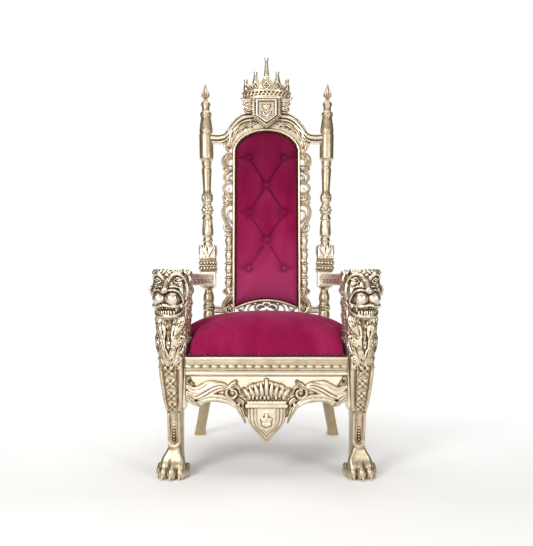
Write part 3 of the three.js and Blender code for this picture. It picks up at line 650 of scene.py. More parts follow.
def carve_mane(c):
    """Waves over the brow, long locks beside the face, and fur that parts over the breast."""
    c.sides = (1, -1)
    c.turn = math.radians(-4)
    for i in range(4):  # fringe along the front of the flat top
        x = 9 + 17 * i
        y = -62 + 0.0085 * x * x
        c.strand([(x - 11, y + 3, 758), (x - 4, y - 5, 765), (x + 5, y - 6, 757), (x + 10, y + 1, 764)],
                 [4, 5, 5, 3], 1.5)
        c.strand([(x - 8, y + 6, 770), (x, y - 1, 768), (x + 8, y + 6, 770)], [3, 4, 3], 1.5)
    c.take_bed()
    for i in range(4):
        for y in (34, 10, -14):
            x = 10 + 15 * i + (4 if y == 10 else 0)
            c.tuft([(x, y + 16, 768), (x + 4, y, 768), (x - 1, y - 18, 768)], 15, (0, 0, 1), 1, lift=0.5)
    c.turn = 0.0
    # beside the face and down the neck, each row over the one below
    for row in range(6):
        c.take_bed()
        top = 512 + 47 * row
        for y in (-24, 4, 32):
            y += 12 * (row % 2)
            c.tuft([(60, y, top), (64, y + 9, top - 30), (56, y - 3, top - 66)],
                   32, (1, -0.1, 0), 3, lift=1.5, thick=0.45)
    # breast: feathers sweep from the shoulders down to the middle
    for top in (508, 546, 584):
        c.take_bed()
        for x in (45, 21):
            c.tuft([(x + 4, -40, top), (x, -40, top - 28), (x * 0.25 + 2, -40, top - 66)],
                   29, (0.3, -1, 0), 3, lift=2, thick=0.45)
        c.sides = (1,)
        c.tuft([(0, -40, top - 8), (0, -40, top - 34), (0, -40, top - 68)],
               20, FACING_FRONT, 2, lift=1, thick=0.45)
        c.sides = (1, -1)
    # ruff under the jaw, with a dark hollow in the middle
    c.sides = (1,)
    c.strand([(0, -60, 592), (0, -58, 572), (0, -50, 548)], [19, 13, 3], 3, cut=True)
    c.take_bed()
    for x in (-8, -3, 3, 8):
        c.strand([(x * 1.3, -44, 596), (x * 0.9, -44, 574), (x * 0.4, -44, 552)],
                 [1.6, 2, 1.4], 0.5, cut=True, lift=0)
    c.sides = (1, -1)
    c.take_bed()
    c.tuft([(44, -40, 594), (42, -44, 572), (20, -44, 532)], 34, (0.35, -1, 0), 3, lift=4)


def carve_leg(c):
    """Knee leaves, a chain of four flowers, the sunk panel on the shin, and the paw."""
    c.turn = 0.0
    c.sides = (1,)
    # smooth bands at both sides of the flowers
    for way in (-1, 1):
        c.strand([(2 + way * 40, -42, 440), (4 + way * 37, -40, 380), (7 + way * 31, -32, 300),
                  (9 + way * 26, -26, 256), (11 + way * 22, -22, 236)], [6, 9, 8, 6, 4], 3, flat=0.8)
    c.take_bed()
    # palmette of long leaves that open upwards and outwards over the knee
    for lean, reach, wide in ((80, 46, 20), (46, 66, 24), (14, 88, 24)):
        c.take_bed()
        for way in (-1, 1):
            s, k = way * math.sin(math.radians(lean)), math.cos(math.radians(lean))
            c.tuft([(2 + 4 * s, -50, 404 + 4 * k), (2 + 0.55 * reach * s, -50, 406 + 0.65 * reach * k),
                    (2 + reach * s, -48, 400 + reach * k)], wide, (0.5 * s, -1, 0), 2, lift=2, root=0.05)
    for way in (-1, 1):  # sunk line inside each band
        c.strand([(2 + way * 29, -40, 424), (4 + way * 27, -40, 380), (7 + way * 22, -32, 300),
                  (9 + way * 18, -26, 256)], [2.5, 3.5, 3, 2], 0.8, cut=True, lift=0.5)
    for x, z, size in ((2, 398, 25), (5, 350, 24), (7, 304, 22), (9, 262, 19)):
        on = c.lay(np.array([[x, -44.0, z]]), np.array(FACING_FRONT), 0)[0][1]
        for turn in (45, 135, 225, 315):
            s, k = size * math.sin(math.radians(turn)), size * math.cos(math.radians(turn))
            petal = [(x + part * s, -44, z + part * k) for part in (0.2, 0.62, 1.2)]
            c.strand(petal, [3, size * 0.33, 1.5], 0.5, flat=0.8, lift=1.5)
        c.ball((x, on - 3, z), (0.36 * size, 9, 0.36 * size), 0.5)
    # long panel with a round foot and a double rim
    angle = np.linspace(np.pi, 2 * np.pi, 13)
    rim = [(-20, 236), *[(20 * math.cos(a), 134 + 20 * math.sin(a)) for a in angle], (20, 236)]
    c.strand([(11 + x, -28, z) for x, z in rim], [5.4, 5.4], 1.2, smooth=False, lift=2.5)
    c.strand([(11, -28, 232), (11, -28, 134)], [11, 11.5], 1.5, cut=True, smooth=False, lift=6)
    for i in range(9):
        c.ball((11, -23.5 - 0.2 * i, 224 - 10.5 * i), (5, 3, 4), 1)
    # tendons run down to the toes
    for x0, x1 in ((-12, -19), (11, 12), (30, 40)):
        c.strand([(x0 * 0.5 + 6, -20, 118), (x0 * 0.8 + 3, -23, 94), (x1, -32, 64), (x1, -44, 44)],
                 [7, 12, 16, 18], 9)
    toes = [(-18, -55, 19, 26), (14, -61, 19, 27), (44, -48, 17, 26), (-42, -28, 14, 24), (57, -14, 12, 23)]
    for x, y, wide, tall in toes:
        c.ball((x, y + 1, tall * 0.9), (wide, 24, tall * 0.92), 1.5)
        c.ball((x, y + 9, tall * 1.7), (wide * 0.82, 15, 12), 4)
        c.strand([(x, y - 21, 14), (x, y - 24, 8), (x, y - 24, 3)], [3.4, 3, 2.2], 1)
    c.ball((10, 20, 24), (34, 24, 23), 6)


def front_legs():
    """Both front legs, from the lion's head to its paw, and the block behind each knee."""
    c = Carving((-96, -122, -6), (96, 72, 786), 2.0)
    c.limb([
        [0, 10, -14, 40, 42], [34, 10, -16, 40, 44], [66, 10, -9, 34, 37], [110, 11, 2, 28, 29],
        [200, 11, 2, 28, 30], [262, 8, -1, 33, 35], [340, 5, -6, 40, 42], [430, 2, -9, 46, 47],
        [500, 0, -5, 47, 48], [600, -2, 6, 50, 47], [660, -2, 8, 58, 52], [745, -2, 8, 60, 53],
        [766, -2, 8, 52, 47]])
    carve_lion_head(c)
    carve_mane(c)
    carve_leg(c)
    c.sides = (1,)
    c.block((-120, 58, 560), (120, 140, 800), 1.5, cut=True)  # flat where the arm is glued on
    c.block((-140, -140, -40), (140, 140, 0), 0.5, cut=True, edge=0)
    block = Carving((-374, -307, 246), (-298, -236, 452), 2.0)
    block.block((-372, -305, 250), (-300, -238, 448), 0, edge=3)
    # painted shade on the leg below the lion's head, painted light on the head
    gilt_pieces(c, "lion_leg", ["front_leg"], BOTH_LEGS, ((560, 0.12), (620, -0.06)))
    gilt_pieces(block, "leg_block", [], (("_left", Matrix.Identity(4)), ("_right", MIRROR)))


# ------------------------------------------------------------------ posts
POST_PROFILE = [  # (radius, height) up the turning
    (27, -2), (27, 70), (25, 80), (23, 92), (27, 108), (27, 128), (24, 141), (23, 145), (28, 150),
    (28.5, 154), (25, 158), (28.5, 163), (28, 168), (24, 173), (22, 182), (25, 192), (25.5, 204), (23, 220),
    (17.5, 236), (17, 242), (22, 246), (23, 250), (23, 254), (30, 256), (30, 444), (24, 448), (20, 456),
    (20, 463), (24, 468), (24, 474), (20, 480), (20, 486), (25, 492), (26.5, 504), (25, 524), (22, 548),
    (21, 562), (25, 568), (25.5, 576), (23, 583), (19, 589), (23, 598), (25, 612), (23, 628), (18, 638),
    (18, 643), (23, 652), (24, 668), (22, 688), (19, 700), (18, 710), (19, 726), (23, 798), (23.5, 808),
    (20, 815), (19, 818), (22, 822), (22.5, 842), (25, 847), (32, 856), (33, 862), (33, 974), (30.5, 979),
    (29, 983), (31.5, 988), (31, 1000), (25, 1046), (23, 1052), (23, 1058), (27, 1064), (27.5, 1072),
    (25, 1079), (18, 1085), (17.5, 1106), (21, 1112), (22.5, 1119), (20, 1127), (12, 1135), (7.5, 1144),
    (7.5, 1150), (12, 1154), (16, 1160), (15.5, 1167), (11.5, 1180), (8, 1194), (4, 1212), (2, 1219)]


def back_posts():
    """Turned posts: spear finial, plain drum, leafy vases, and the square block that takes the arm."""
    c = Carving((-46, -46, -4), (46, 46, 1226), 2.0)
    c.turned(POST_PROFILE)
    c.block((-35, -35, 253), (35, 35, 447), 1, edge=3)
    for turn in range(4):
        a = math.pi / 2 * turn
        n = (math.cos(a), math.sin(a), 0)
        t = (-n[1], n[0], 0)

        def spot(across, out, z):
            return (n[0] * out + t[0] * across, n[1] * out + t[1] * across, z)
        # two tall leaves open in a V on each face of the block
        for way in (-1, 1):
            for first, last in ((4, 30), (2, 19), (3, 8)):
                c.strand([spot(way * first, 35, 392), spot(way * (first + last) * 0.42, 38, 414),
                          spot(way * last, 37, 444)], [3.4, 4.6, 3.2], 1)
        c.strand([spot(-34, 37, 386), spot(34, 37, 386)], [3, 3], 0.8, smooth=False)
        # two bead rows in sunk bands
        for z in (340, 364):
            for i in range(5):
                c.ball(spot(-28 + 14 * i, 36, z), (6.4, 6.4, 8), 0.8)
        for z in (327, 352, 376):
            c.strand([spot(-34, 36, z), spot(34, 36, z)], [2.4, 2.4], 0.8, smooth=False)
        panel = [spot(x, 37, z) for x, z in ((-30, 262), (-30, 326), (30, 326), (30, 262), (-30, 262))]
        c.strand(panel, [1.6, 1.6], 0.8, cut=True, smooth=False)
        # leaf cup and garland higher up
        for half in (0, math.pi / 4):
            b = a + half
            m = (math.cos(b), math.sin(b), 0)
            c.leaf([(m[0] * 17, m[1] * 17, 644), (m[0] * 25, m[1] * 25, 666), (m[0] * 24, m[1] * 24, 700)],
                   8.5, m, lobes=3)
            c.ball((m[0] * 22, m[1] * 22, 614), (8, 8, 8), 1.2)
            c.ball((m[0] * 20, m[1] * 20, 598), (5, 5, 5), 1.2)
            c.ball((m[0] * 20, m[1] * 20, 630), (5, 5, 5), 1.2)
            c.leaf([(m[0] * 21, m[1] * 21, 562), (m[0] * 24, m[1] * 24, 536), (m[0] * 26, m[1] * 26, 506)],
                   7.5, m, lobes=2)
        for i in range(2):  # cupped leaves of the spear
            b = a + i * math.pi / 4
            m = (math.cos(b), math.sin(b), 0)
            c.strand([(m[0] * 9, m[1] * 9, 1152), (m[0] * 16, m[1] * 16, 1163), (m[0] * 9, m[1] * 9, 1190)],
                     [3, 4, 1.2], 1)
    # painted shade by height: darker under the block and up towards the top, painted light on the block
    gilt_pieces(c, "turned_post", ["back_post"], BOTH_POSTS,
                ((240, 0.12), (254, -0.08), (446, -0.08), (460, 0.04), (760, 0.06), (1000, 0.16)))


# ------------------------------------------------------------------ leaning back frame
def arch_head(grow, steps=48):
    """The half oval over the back panel, that much outside its edge."""
    angle = np.linspace(0, np.pi, steps + 1)
    rise = PANEL_TOP + grow - PANEL_SPRING
    return [((PANEL_HALF + grow) * math.cos(a), PANEL_SPRING + rise * math.sin(a)) for a in angle]


def panel_foot(grow, steps=32):
    """The low arch under the back panel, that much outside its edge."""
    half = PANEL_HALF + grow
    across = np.linspace(-half, half, steps + 1)
    return [(x, PANEL_BOTTOM - grow + 34 * (1 - (x / half) ** 2)) for x in across]


def crest_rail():
    """Ogee rail of three ridges, with pierced leaves between it and the arched rim."""
    c = Carving((-268, -34, 860), (268, 22, 1092), 2.0)
    outer = curve([(266, 976), (222, 974), (192, 984), (166, 1020), (138, 1054), (106, 1074), (66, 1080),
                   (0, 1080)], 6)
    inner = curve([(266, 930), (214, 930), (184, 944), (158, 984), (128, 1014), (98, 1030), (60, 1034),
                   (0, 1034)], 6)
    c.sides = (1, -1)
    band = [*outer, *inner[::-1]]
    c.plate(band, -14, 14, 2, edge=3)
    for share, radius, y in ((0.12, 5.2, -15), (0.5, 9, -15), (0.88, 5.2, -15)):
        run = outer + (inner - outer) * share
        c.strand([(x, y, z) for x, z in run], [radius, radius], 1.5, smooth=False)
    for share in (0.27, 0.73):
        run = outer + (inner - outer) * share
        c.strand([(x, -18, z) for x, z in run], [1.8, 1.8], 1.5, cut=True, smooth=False)
    # leafy ground between rail and rim
    ground = [*arch_head(RIM - 2)[:25], (0, 1040), (70, 1036), (124, 1016), (160, 982), (186, 942),
              (196, 932), (188, 908), (176, 887), (159, 887)]
    c.plate(ground, -7, 10, 2)
    # fronds that run out and down beside the arch
    for line, wide in (
            ([(180, 946), (190, 922), (180, 890)], [8, 16, 4]),
            ([(154, 986), (170, 956), (170, 908)], [9, 20, 4]),
            ([(122, 1014), (148, 992), (158, 948)], [9, 20, 4]),
            ([(84, 1026), (116, 1012), (136, 982)], [8, 18, 4]),
            ([(44, 1032), (76, 1022), (102, 1004)], [7, 15, 4])):
        c.reeds(line, wide, -9, 3)
    for x, z, rx, rz in ((62, 1034, 8, 4), (92, 1006, 6, 3), (66, 1009, 6, 3), (110, 996, 6, 3)):
        c.ball((x, 0, z), (rx, 60, rz), 1.5, cut=True)
    c.sides = (1,)
    run = arch_head(RIM / 2 + 0.4, 64)
    c.strand([(x, -12, z) for x, z in run], [7, 7], 1, flat=1.2, smooth=False)
    c.strand([(x, -1, z) for x, z in run], [7, 7], 2, flat=1.6, smooth=False)
    gilt_pieces(c, "crest_rail_carving", ["crest_rail"], ONE_BACK)


def back_stiles():
    """Rim of the panel with pierced scrolls, a column of four small vases and a scrolled console."""
    c = Carving((-276, -28, 56), (-140, 24, 892), 1.8)
    c.strand([(-152, -12, 60), (-152, -12, 889)], [7, 7], 1, flat=1.2, smooth=False)
    c.block((-159, -12, 60), (-146, 14, 886), 1)
    flat = 1.2
    c.bold = 1.2
    y = -3
    # C scroll under the crest, with a pierced eye
    c.scroll([(-154, 880), (-178, 880), (-198, 862), (-201, 838), (-190, 814), (-172, 802), (-156, 800)],
             [7, 8, 8, 9, 8, 7, 6], y, flat)
    c.scroll([(-158, 862), (-174, 856), (-184, 842), (-180, 826), (-164, 822)], [5, 5, 6, 5, 4], y, flat)
    c.reeds([(-160, 880), (-178, 868), (-196, 842)], [5, 13, 3], y - 7)
    # vine with small leaves
    vine = [(-158, 806), (-176, 796), (-194, 780), (-196, 760), (-182, 748), (-164, 744), (-158, 736)]
    c.scroll(vine, [7, 7, 6, 6, 6, 6, 6], y, flat)
    c.reeds([(-168, 796), (-188, 796), (-204, 808)], [4, 10, 3], y - 7)
    c.scroll([(-160, 780), (-172, 774), (-176, 762), (-166, 756)], [4, 5, 5, 4], y, flat)
    vine = [(-160, 742), (-184, 738), (-199, 722), (-196, 704), (-178, 694), (-160, 690)]
    c.scroll(vine, [6, 6, 6, 6, 6, 6], y, flat)
    c.ball((-176, y, 714), (5, 9, 5), 2)
    vine = [(-160, 692), (-184, 690), (-198, 676), (-194, 660), (-176, 650), (-158, 646)]
    c.scroll(vine, [7, 7, 7, 7, 7, 8], y, flat)
    c.reeds([(-160, 652), (-182, 654), (-204, 644)], [6, 16, 3], y - 8)
    c.reeds([(-160, 670), (-178, 674), (-198, 690)], [6, 14, 3], y - 8)
    # long curve, the tendril inside it and the round hook below
    vine = [(-158, 642), (-182, 640), (-198, 622), (-201, 596), (-192, 566), (-176, 540), (-166, 520),
            (-162, 504)]
    c.scroll(vine, [8, 8, 8, 8, 8, 7, 7, 6], y, flat)
    vine = [(-160, 612), (-172, 610), (-180, 596), (-178, 578), (-168, 562), (-160, 552)]
    c.scroll(vine, [4, 5, 5, 5, 5, 4], y, flat)
    c.volute(-181, 530, 19, 100, 1.2, 6.5, y, flat)
    c.reeds([(-158, 512), (-176, 508), (-194, 514)], [5, 12, 3], y - 6)
    # column of four small vases
    rows = np.array([(10, 0), (14, 3), (14, 7), (11, 10), (15, 18), (18.5, 32), (18, 42), (13, 50), (12, 53),
                     (20, 57), (21, 60), (19, 63), (10, 66)], float)
    for i in range(4):
        z = 238 + 65.5 * i

        def shape(X, Y, Z):
            radius = np.interp(Z - z, rows[:, 1], rows[:, 0])
            rim = np.maximum(z - Z, Z - z - 66)
            return np.maximum((np.sqrt((X + 175) ** 2 + (Y * 1.15) ** 2) - radius) * SLOPED, rim)
        c.blend((-200, -24, z), (-150, 24, z + 66), shape, 0.8)
        for way in (-1, 0, 1):
            c.strand([(-175 + 8 * way, -14 + 2 * abs(way), z + 12),
                      (-175 + 11 * way, -17 + 4 * abs(way), z + 40)], [1.2, 1.8], 1, cut=True, smooth=False)
    c.block((-172, -8, 236), (-150, 10, 505), 2)
    # console: hook on top, acanthus down to a volute
    c.volute(-190, 232, 15, -20, 1.15, 5.5, y, flat)
    c.scroll([(-180, 240), (-170, 226), (-178, 200), (-192, 178), (-196, 156), (-188, 138), (-172, 128)],
             [9, 11, 11, 11, 10, 9, 7], y, flat, groove=False)
    c.block((-186, -8, 128), (-152, 10, 236), 3)
    c.reeds([(-162, 232), (-172, 206), (-190, 174)], [14, 22, 8], y - 12, 4)
    c.reeds([(-156, 222), (-162, 200), (-166, 178)], [8, 10, 3], y - 10)
    c.volute(-172, 151, 22, 60, -1.5, 8, y - 6, flat)
    c.block((-192, -10, 60), (-150, 10, 132), 3)
    c.block((-272, -10, 134), (-186, 10, 168), 2)
    for z in (141, 161):
        c.strand([(-272, -11, z), (-196, -11, z)], [3, 3], 1, smooth=False)

    def post_room(X, Y, Z):
        return 28.5 - np.sqrt((X + POST_X + 0.0227 * Z) ** 2 + Y * Y)
    c.field = np.maximum(c.field, post_room(
        c.axes[0][:, None, None], c.axes[1][None, :, None], c.axes[2][None, None, :]).astype(np.float32))
    gilt_pieces(c, "pierced_stile", ["back_stile"], BOTH_STILES)


def bottom_rail():
    """Low arch with a lozenge, a flower and small scrolls pierced under it."""
    c = Carving((-150, -26, 64), (150, 22, 208), 1.8)
    foot = panel_foot(-8, 40)
    c.strand([(x, -12, z - 16) for x, z in foot], [6.5, 6.5], 1, flat=1.3, smooth=False)
    c.strand([(x, 0, z - 16) for x, z in foot], [6.5, 6.5], 2, flat=1.8, smooth=False)
    c.block((-144, -12, 70), (144, 12, 112), 2)
    c.sides = (1, -1)
    y = -4
    c.scroll([(0, 178), (28, 158), (60, 136), (84, 116), (92, 104)], [5.5, 5.5, 5.5, 6, 6], y, 1.2)
    c.scroll([(0, 150), (22, 134), (42, 116), (50, 104)], [4.5, 4.5, 4.5, 4.5], y, 1.2)
    c.scroll([(20, 182), (40, 178), (54, 166), (50, 152), (38, 150), (36, 160)],
             [5, 5, 5.5, 5, 4, 3.5], y, 1.2)
    c.scroll([(60, 176), (78, 164), (84, 148), (76, 136), (66, 142)], [4, 5, 5, 4.5, 3.5], y, 1.2)
    c.scroll([(96, 168), (106, 152), (108, 134), (100, 116), (96, 104)], [4, 4.5, 5, 5, 5], y, 1.2)
    c.volute(121, 138, 12, 60, 1.1, 5, y, 1.1)
    c.reeds([(110, 112), (124, 118), (138, 134)], [5, 12, 3], y - 5)
    c.reeds([(10, 160), (26, 166), (44, 160)], [4, 8, 3], y - 5)
    c.sides = (1,)
    c.rosette(0, y - 5, 122, 20, 6)
    c.leaf([(0, y - 4, 196), (0, y - 9, 180), (0, y - 4, 160)], 11, lobes=3)
    gilt_pieces(c, "arched_lattice", ["back_bottom_rail"], ONE_BACK)


def shield_outline(inset):
    """The crest shield, drawn in by the inset on all sides."""
    half, top = 70 - inset, 1142 - inset * 0.7
    return [(-half, top), (-half, 1053), (0, 994 + inset * 1.1), (half, 1053), (half, top)]


def crest_shield():
    """Straight-sided shield of nested mouldings with a low flower, between leafy sprays."""
    c = Carving((-128, -64, 988), (128, 18, 1150), 1.6)
    front = -FRAME_HALF - 26
    c.plate(shield_outline(0), front, -24, 1, edge=4)
    c.plate(shield_outline(7), front - 7, -24, 1, edge=5)
    c.plate(shield_outline(15), front - 12, front, 1, cut=True, edge=2)
    c.plate(shield_outline(19), front - 11, -24, 1, edge=5)
    c.plate(shield_outline(31), front - 24, front - 3, 1.5, cut=True, edge=2)
    c.block((-46, -26, 1085), (46, 12, 1142), 1)
    y = front - 4
    c.rosette(0, y, 1092, 15, 5, 90)
    c.sides = (1, -1)
    c.leaf([(2, y, 1050), (14, y - 3, 1062), (26, y, 1082)], 9, lobes=4, soft=1)
    c.leaf([(4, y, 1076), (14, y - 3, 1096), (24, y, 1112)], 7, lobes=3, soft=1)
    c.strand([(0, y, 1044), (10, y - 1, 1052), (24, y, 1056), (28, y, 1070)], [1.8, 1.8, 1.8, 1.4], 1)
    # sprays beside the shield
    z0 = front + 14
    c.reeds([(62, 1124), (90, 1119), (121, 1139)], [12, 18, 3], z0 - 4)
    c.reeds([(62, 1106), (88, 1098), (112, 1113)], [12, 16, 3], z0 - 5)
    c.reeds([(62, 1088), (84, 1078), (106, 1088)], [12, 15, 3], z0 - 4)
    c.scroll([(66, 1076), (88, 1072), (102, 1082), (98, 1098)], [7, 7, 6, 4], z0, 1.0)
    for x, z, rx, rz in ((80, 1113, 5, 3.5), (92, 1096, 4.5, 3.5), (78, 1094, 3.5, 3), (96, 1112, 4, 3)):
        c.ball((x, -30, z), (rx, 50, rz), 1.2, cut=True)
    gilt_pieces(c, "crest_shield_carving", ["crest_shield"], ONE_BACK)


def crest_crown():
    """Open coronet of five balled points over a gadrooned band, bowed forward in plan."""
    bend = 150.0
    c = Carving((-124, -22, 1138), (124, 26, 1342), 1.5)  # carved flat, then bowed
    arc = bend * math.asin(105 / bend)
    reach = arc / 105
    half = [(0, 1327), (4, 1327), (5, 1290), (8, 1256), (13, 1234), (22, 1220), (32, 1222), (39, 1240),
            (43.5, 1264), (50.5, 1264), (54, 1242), (59, 1222), (66, 1210), (76, 1209), (86, 1220),
            (92, 1238), (100, 1237), (103, 1216), (105, 1196), (105, 1142)]
    half = [(x * reach, z) for x, z in half]
    c.plate([*half, *[(-x, z) for x, z in half[::-1]]], -7, 8, 1, edge=4)
    width = 105 * reach
    for z, r in ((1176, 7), (1147, 7)):
        c.strand([(-width, -7, z), (width, -7, z)], [r, r], 1, smooth=False)
    c.strand([(-width, -5, 1161), (width, -5, 1161)], [6, 6], 1, smooth=False)
    for i in range(13):
        x = -width + 8 + i * (2 * width - 16) / 12
        c.strand([(x - 4, -9, 1156), (x + 4, -10, 1167)], [5, 5], 0.8, smooth=False)
    c.sides = (1, -1)
    for x, z, r in ((0, 1328, 9.8), (47, 1265, 9), (96, 1238, 9)):
        c.ball((x * reach, -1, z), (r, r, r), 1.5)
    for x, z, long in ((0, 1326, 74), (47, 1262, 40), (96, 1236, 40)):  # round spikes
        c.strand([(x * reach, -2, z), (x * reach, -3, z - 0.4 * long), (x * reach, -3, z - long)],
                 [4.6, 6, 10], 5)
    for x in (0, 47):
        x *= reach
        frame_line = [(x - 15, 1198), (x, 1180), (x + 15, 1198), (x, 1218), (x - 15, 1198)]
        c.strand([(a, -8, b) for a, b in frame_line], [3.2, 3.2], 1, smooth=False)
        c.ball((x, -8, 1198), (8, 5, 8), 1)
        c.ball((x, -14, 1198), (3.6, 8, 3.6), 0.8, cut=True)
    # raised edge that follows the points
    edge = [(x * 0.94, z - 9) for x, z in half[4:8]], [(x, z - 9) for x, z in half[11:15]]
    for line in edge:
        c.strand([(x, -8, z) for x, z in line], [2.4, 2.4], 1)
    c.strand([(91 * reach, -8, 1188), (92 * reach, -9, 1208), (97 * reach, -8, 1226)], [4, 3.4, 2], 1)
    points, faces, hollow = c.surface()
    angle = points[:, 0] / bend
    radius = bend - points[:, 1]
    points = np.stack([radius * np.sin(angle), bend - radius * np.cos(angle) - 26, points[:, 2]], axis=1)
    mesh = make_mesh("crown_carving", points, faces, hollow + 0.08, BACK_PLACE)
    add_piece("crown_carving", mesh, GILT, ["crest_crown"])


# ------------------------------------------------------------------ seat frame and arms
def apron():
    """Leafy scrolls either side of a shell over a row of beads, with a hanging shield."""
    front = RAIL_FRONT
    c = Carving((-302, front - 34, 124), (302, front + 28, 378), 2.0)
    edge = [(300, 286), (276, 276), (262, 262), (248, 262), (236, 272), (214, 278), (192, 279), (150, 273),
            (112, 256), (88, 236), (76, 222)]
    outline = [(-300, 375), *[(-x, z) for x, z in edge], (0, 214), *edge[::-1], (300, 375)]
    c.plate(outline, front + 3, front + 24, 1)
    c.sides = (1, -1)
    y = front + 1
    rim = [(300, 288), (280, 280), (262, 268), (246, 270), (230, 280), (192, 285), (150, 279), (112, 262),
           (86, 236)]
    c.scroll(rim, [4, 5, 6, 6, 5, 5, 5, 6, 5], y, 1.0)
    # long acanthus sprays
    c.reeds([(298, 314), (264, 296), (234, 307), (200, 327), (168, 337), (140, 328)],
            [10, 19, 24, 24, 20, 8], y - 1, 3)
    c.reeds([(298, 338), (268, 323), (242, 328), (214, 347), (184, 353)], [7, 13, 14, 10, 3], y, 2)
    c.reeds([(272, 276), (240, 289), (206, 296), (170, 295), (140, 285), (112, 264)],
            [7, 12, 13, 13, 12, 8], y, 2)
    for line, wide in (
            ([(298, 304), (274, 290), (250, 268)], [14, 18, 3]),
            ([(110, 270), (96, 248), (79, 206)], [10, 16, 3]),
            ([(106, 292), (92, 276), (84, 250)], [8, 13, 4]),
            ([(138, 332), (124, 342), (112, 357)], [10, 13, 3]),
            ([(292, 370), (286, 352), (270, 340)], [8, 11, 3])):
        c.reeds(line, wide, y - 4)
    c.volute(126, 313, 24, 20, -1.15, 7, y - 2, 1.2)
    c.scroll([(150, 312), (142, 330), (122, 338), (104, 330), (98, 312)], [5, 6, 7, 6, 4], y, 1.1)
    c.ball((127, front - 6, 313), (9, 14, 8), 1, cut=True)
    c.ball((262, front - 2, 286), (9, 9, 3.5), 1, cut=True)
    c.ball((285, front - 2, 357), (4, 9, 6), 1, cut=True)
    c.ball((95, front - 2, 268), (4, 9, 8), 1, cut=True)
    c.strand([(84, y, 222), (80, y - 3, 208), (78, y, 198)], [5, 4, 1.5], 1)
    c.sides = (1,)
    # low wide shell of nine flutes with a pointed middle
    rim = [(84, 298), (86, 322), (62, 342), (30, 351), (0, 360)]
    c.plate([*rim, *[(-x, z) for x, z in rim[::-1]]], front - 3, front + 6, 1)
    for i in range(9):
        s = (i - 4) / 4
        top = 352 - 26 * abs(s) ** 1.5 + (10 if i == 4 else 0)
        c.strand([(60 * s, y - 4, 300), (72 * s, y - 8, 0.5 * (300 + top)), (84 * s, y - 3, top)],
                 [8, 10, 5.5], 0.8)
    c.block((-74, front - 10, 286), (74, front + 6, 308), 2, edge=5)
    for i in range(10):
        c.ball((-63 + 14 * i, front - 11, 297), (6.4, 7, 8), 0.8)
    for x in (-47, -19, 19, 47):
        c.ball((x + 2, front - 18, 297), (2, 8, 6), 0.6, cut=True)
    c.block((-74, front - 14, 272), (74, front + 8, 288), 2, edge=6)
    c.block((-79, front - 16, 259), (79, front + 10, 274), 1, edge=4)

    def shield(s):
        side = curve([(72 * s, 262), (71 * s, 226), (66 * s, 204), (48 * s, 180), (20 * s, 208 - 60 * s),
                      (0, 208 - 82 * s)])
        return [*side, *[(-x, z) for x, z in side[::-1]]]
    for s, out in ((1.0, 4), (0.84, 7), (0.66, 10), (0.5, 12)):
        c.plate(shield(s), front - out, front + 16, 0.5, edge=3.5)
    # flower of five broad petals on the field
    for tilt, reach in ((-78, 20), (78, 20), (-36, 36), (36, 36), (0, 46)):
        s, k = math.sin(math.radians(tilt)), math.cos(math.radians(tilt))
        c.strand([(0, front - 12, 198), (0.55 * reach * s, front - 15, 198 + 0.6 * reach * k),
                  (reach * s, front - 11, 198 + reach * k)], [4, 8.5, 2.5], 0.8, flat=0.6)
    c.ball((0, front - 14, 196), (8, 6, 8), 0.8)
    c.block((-300, front - 60, 375.4), (300, front + 60, 420), 0, cut=True, edge=0)
    gilt_pieces(c, "apron_carving", ["apron_front"], ONE)


def ring_faces(around, rings):
    """The four-sided faces between closed rings of points that follow one another."""
    return [(k * around + i, k * around + (i + 1) % around, (k + 1) * around + (i + 1) % around,
             (k + 1) * around + i) for k in range(rings - 1) for i in range(around)]


def moulding(name, profile, start, end, node):
    """A straight gilded moulding: a closed profile of (out, up, hollow) swept from start to end."""
    start, end, up = np.array(start, float), np.array(end, float), np.array((0, 0, 1), float)
    out = unit(np.cross(end - start, up))
    rows = np.array(profile, float)
    ring = out * rows[:, :1] + up * rows[:, 1:2]
    stations = 25
    points = np.vstack([ring + start + (end - start) * t for t in np.linspace(0, 1, stations)])
    mesh = make_mesh(name, points, ring_faces(len(rows), stations), np.tile(rows[:, 2], stations))
    cap(mesh, len(rows), stations)
    add_piece(name, mesh, GILT, [node])


def cap(mesh, n, stations):
    """Closes both ends of a swept mesh, turns all faces out and keeps its edges crisp."""
    work = bmesh.new()
    work.from_mesh(mesh)
    work.verts.ensure_lookup_table()
    work.faces.new([work.verts[i] for i in range(n)])
    work.faces.new([work.verts[n * (stations - 1) + i] for i in range(n)][::-1])
    bmesh.ops.recalc_face_normals(work, faces=work.faces)
    for edge in work.edges:
        edge.smooth = len(edge.link_faces) == 2 and edge.calc_face_angle(0) < math.radians(40)
    for face in work.faces:
        face.smooth = True
    work.to_mesh(mesh)
    work.free()


def half_round(out, z, depth, height, hollow, steps):
    """The bulge of a half round, bottom to top, as part of a moulding's profile."""
    return [(out + depth * math.cos(a), z + height * math.sin(a), hollow)
            for a in np.linspace(-math.pi / 2, math.pi / 2, steps)]


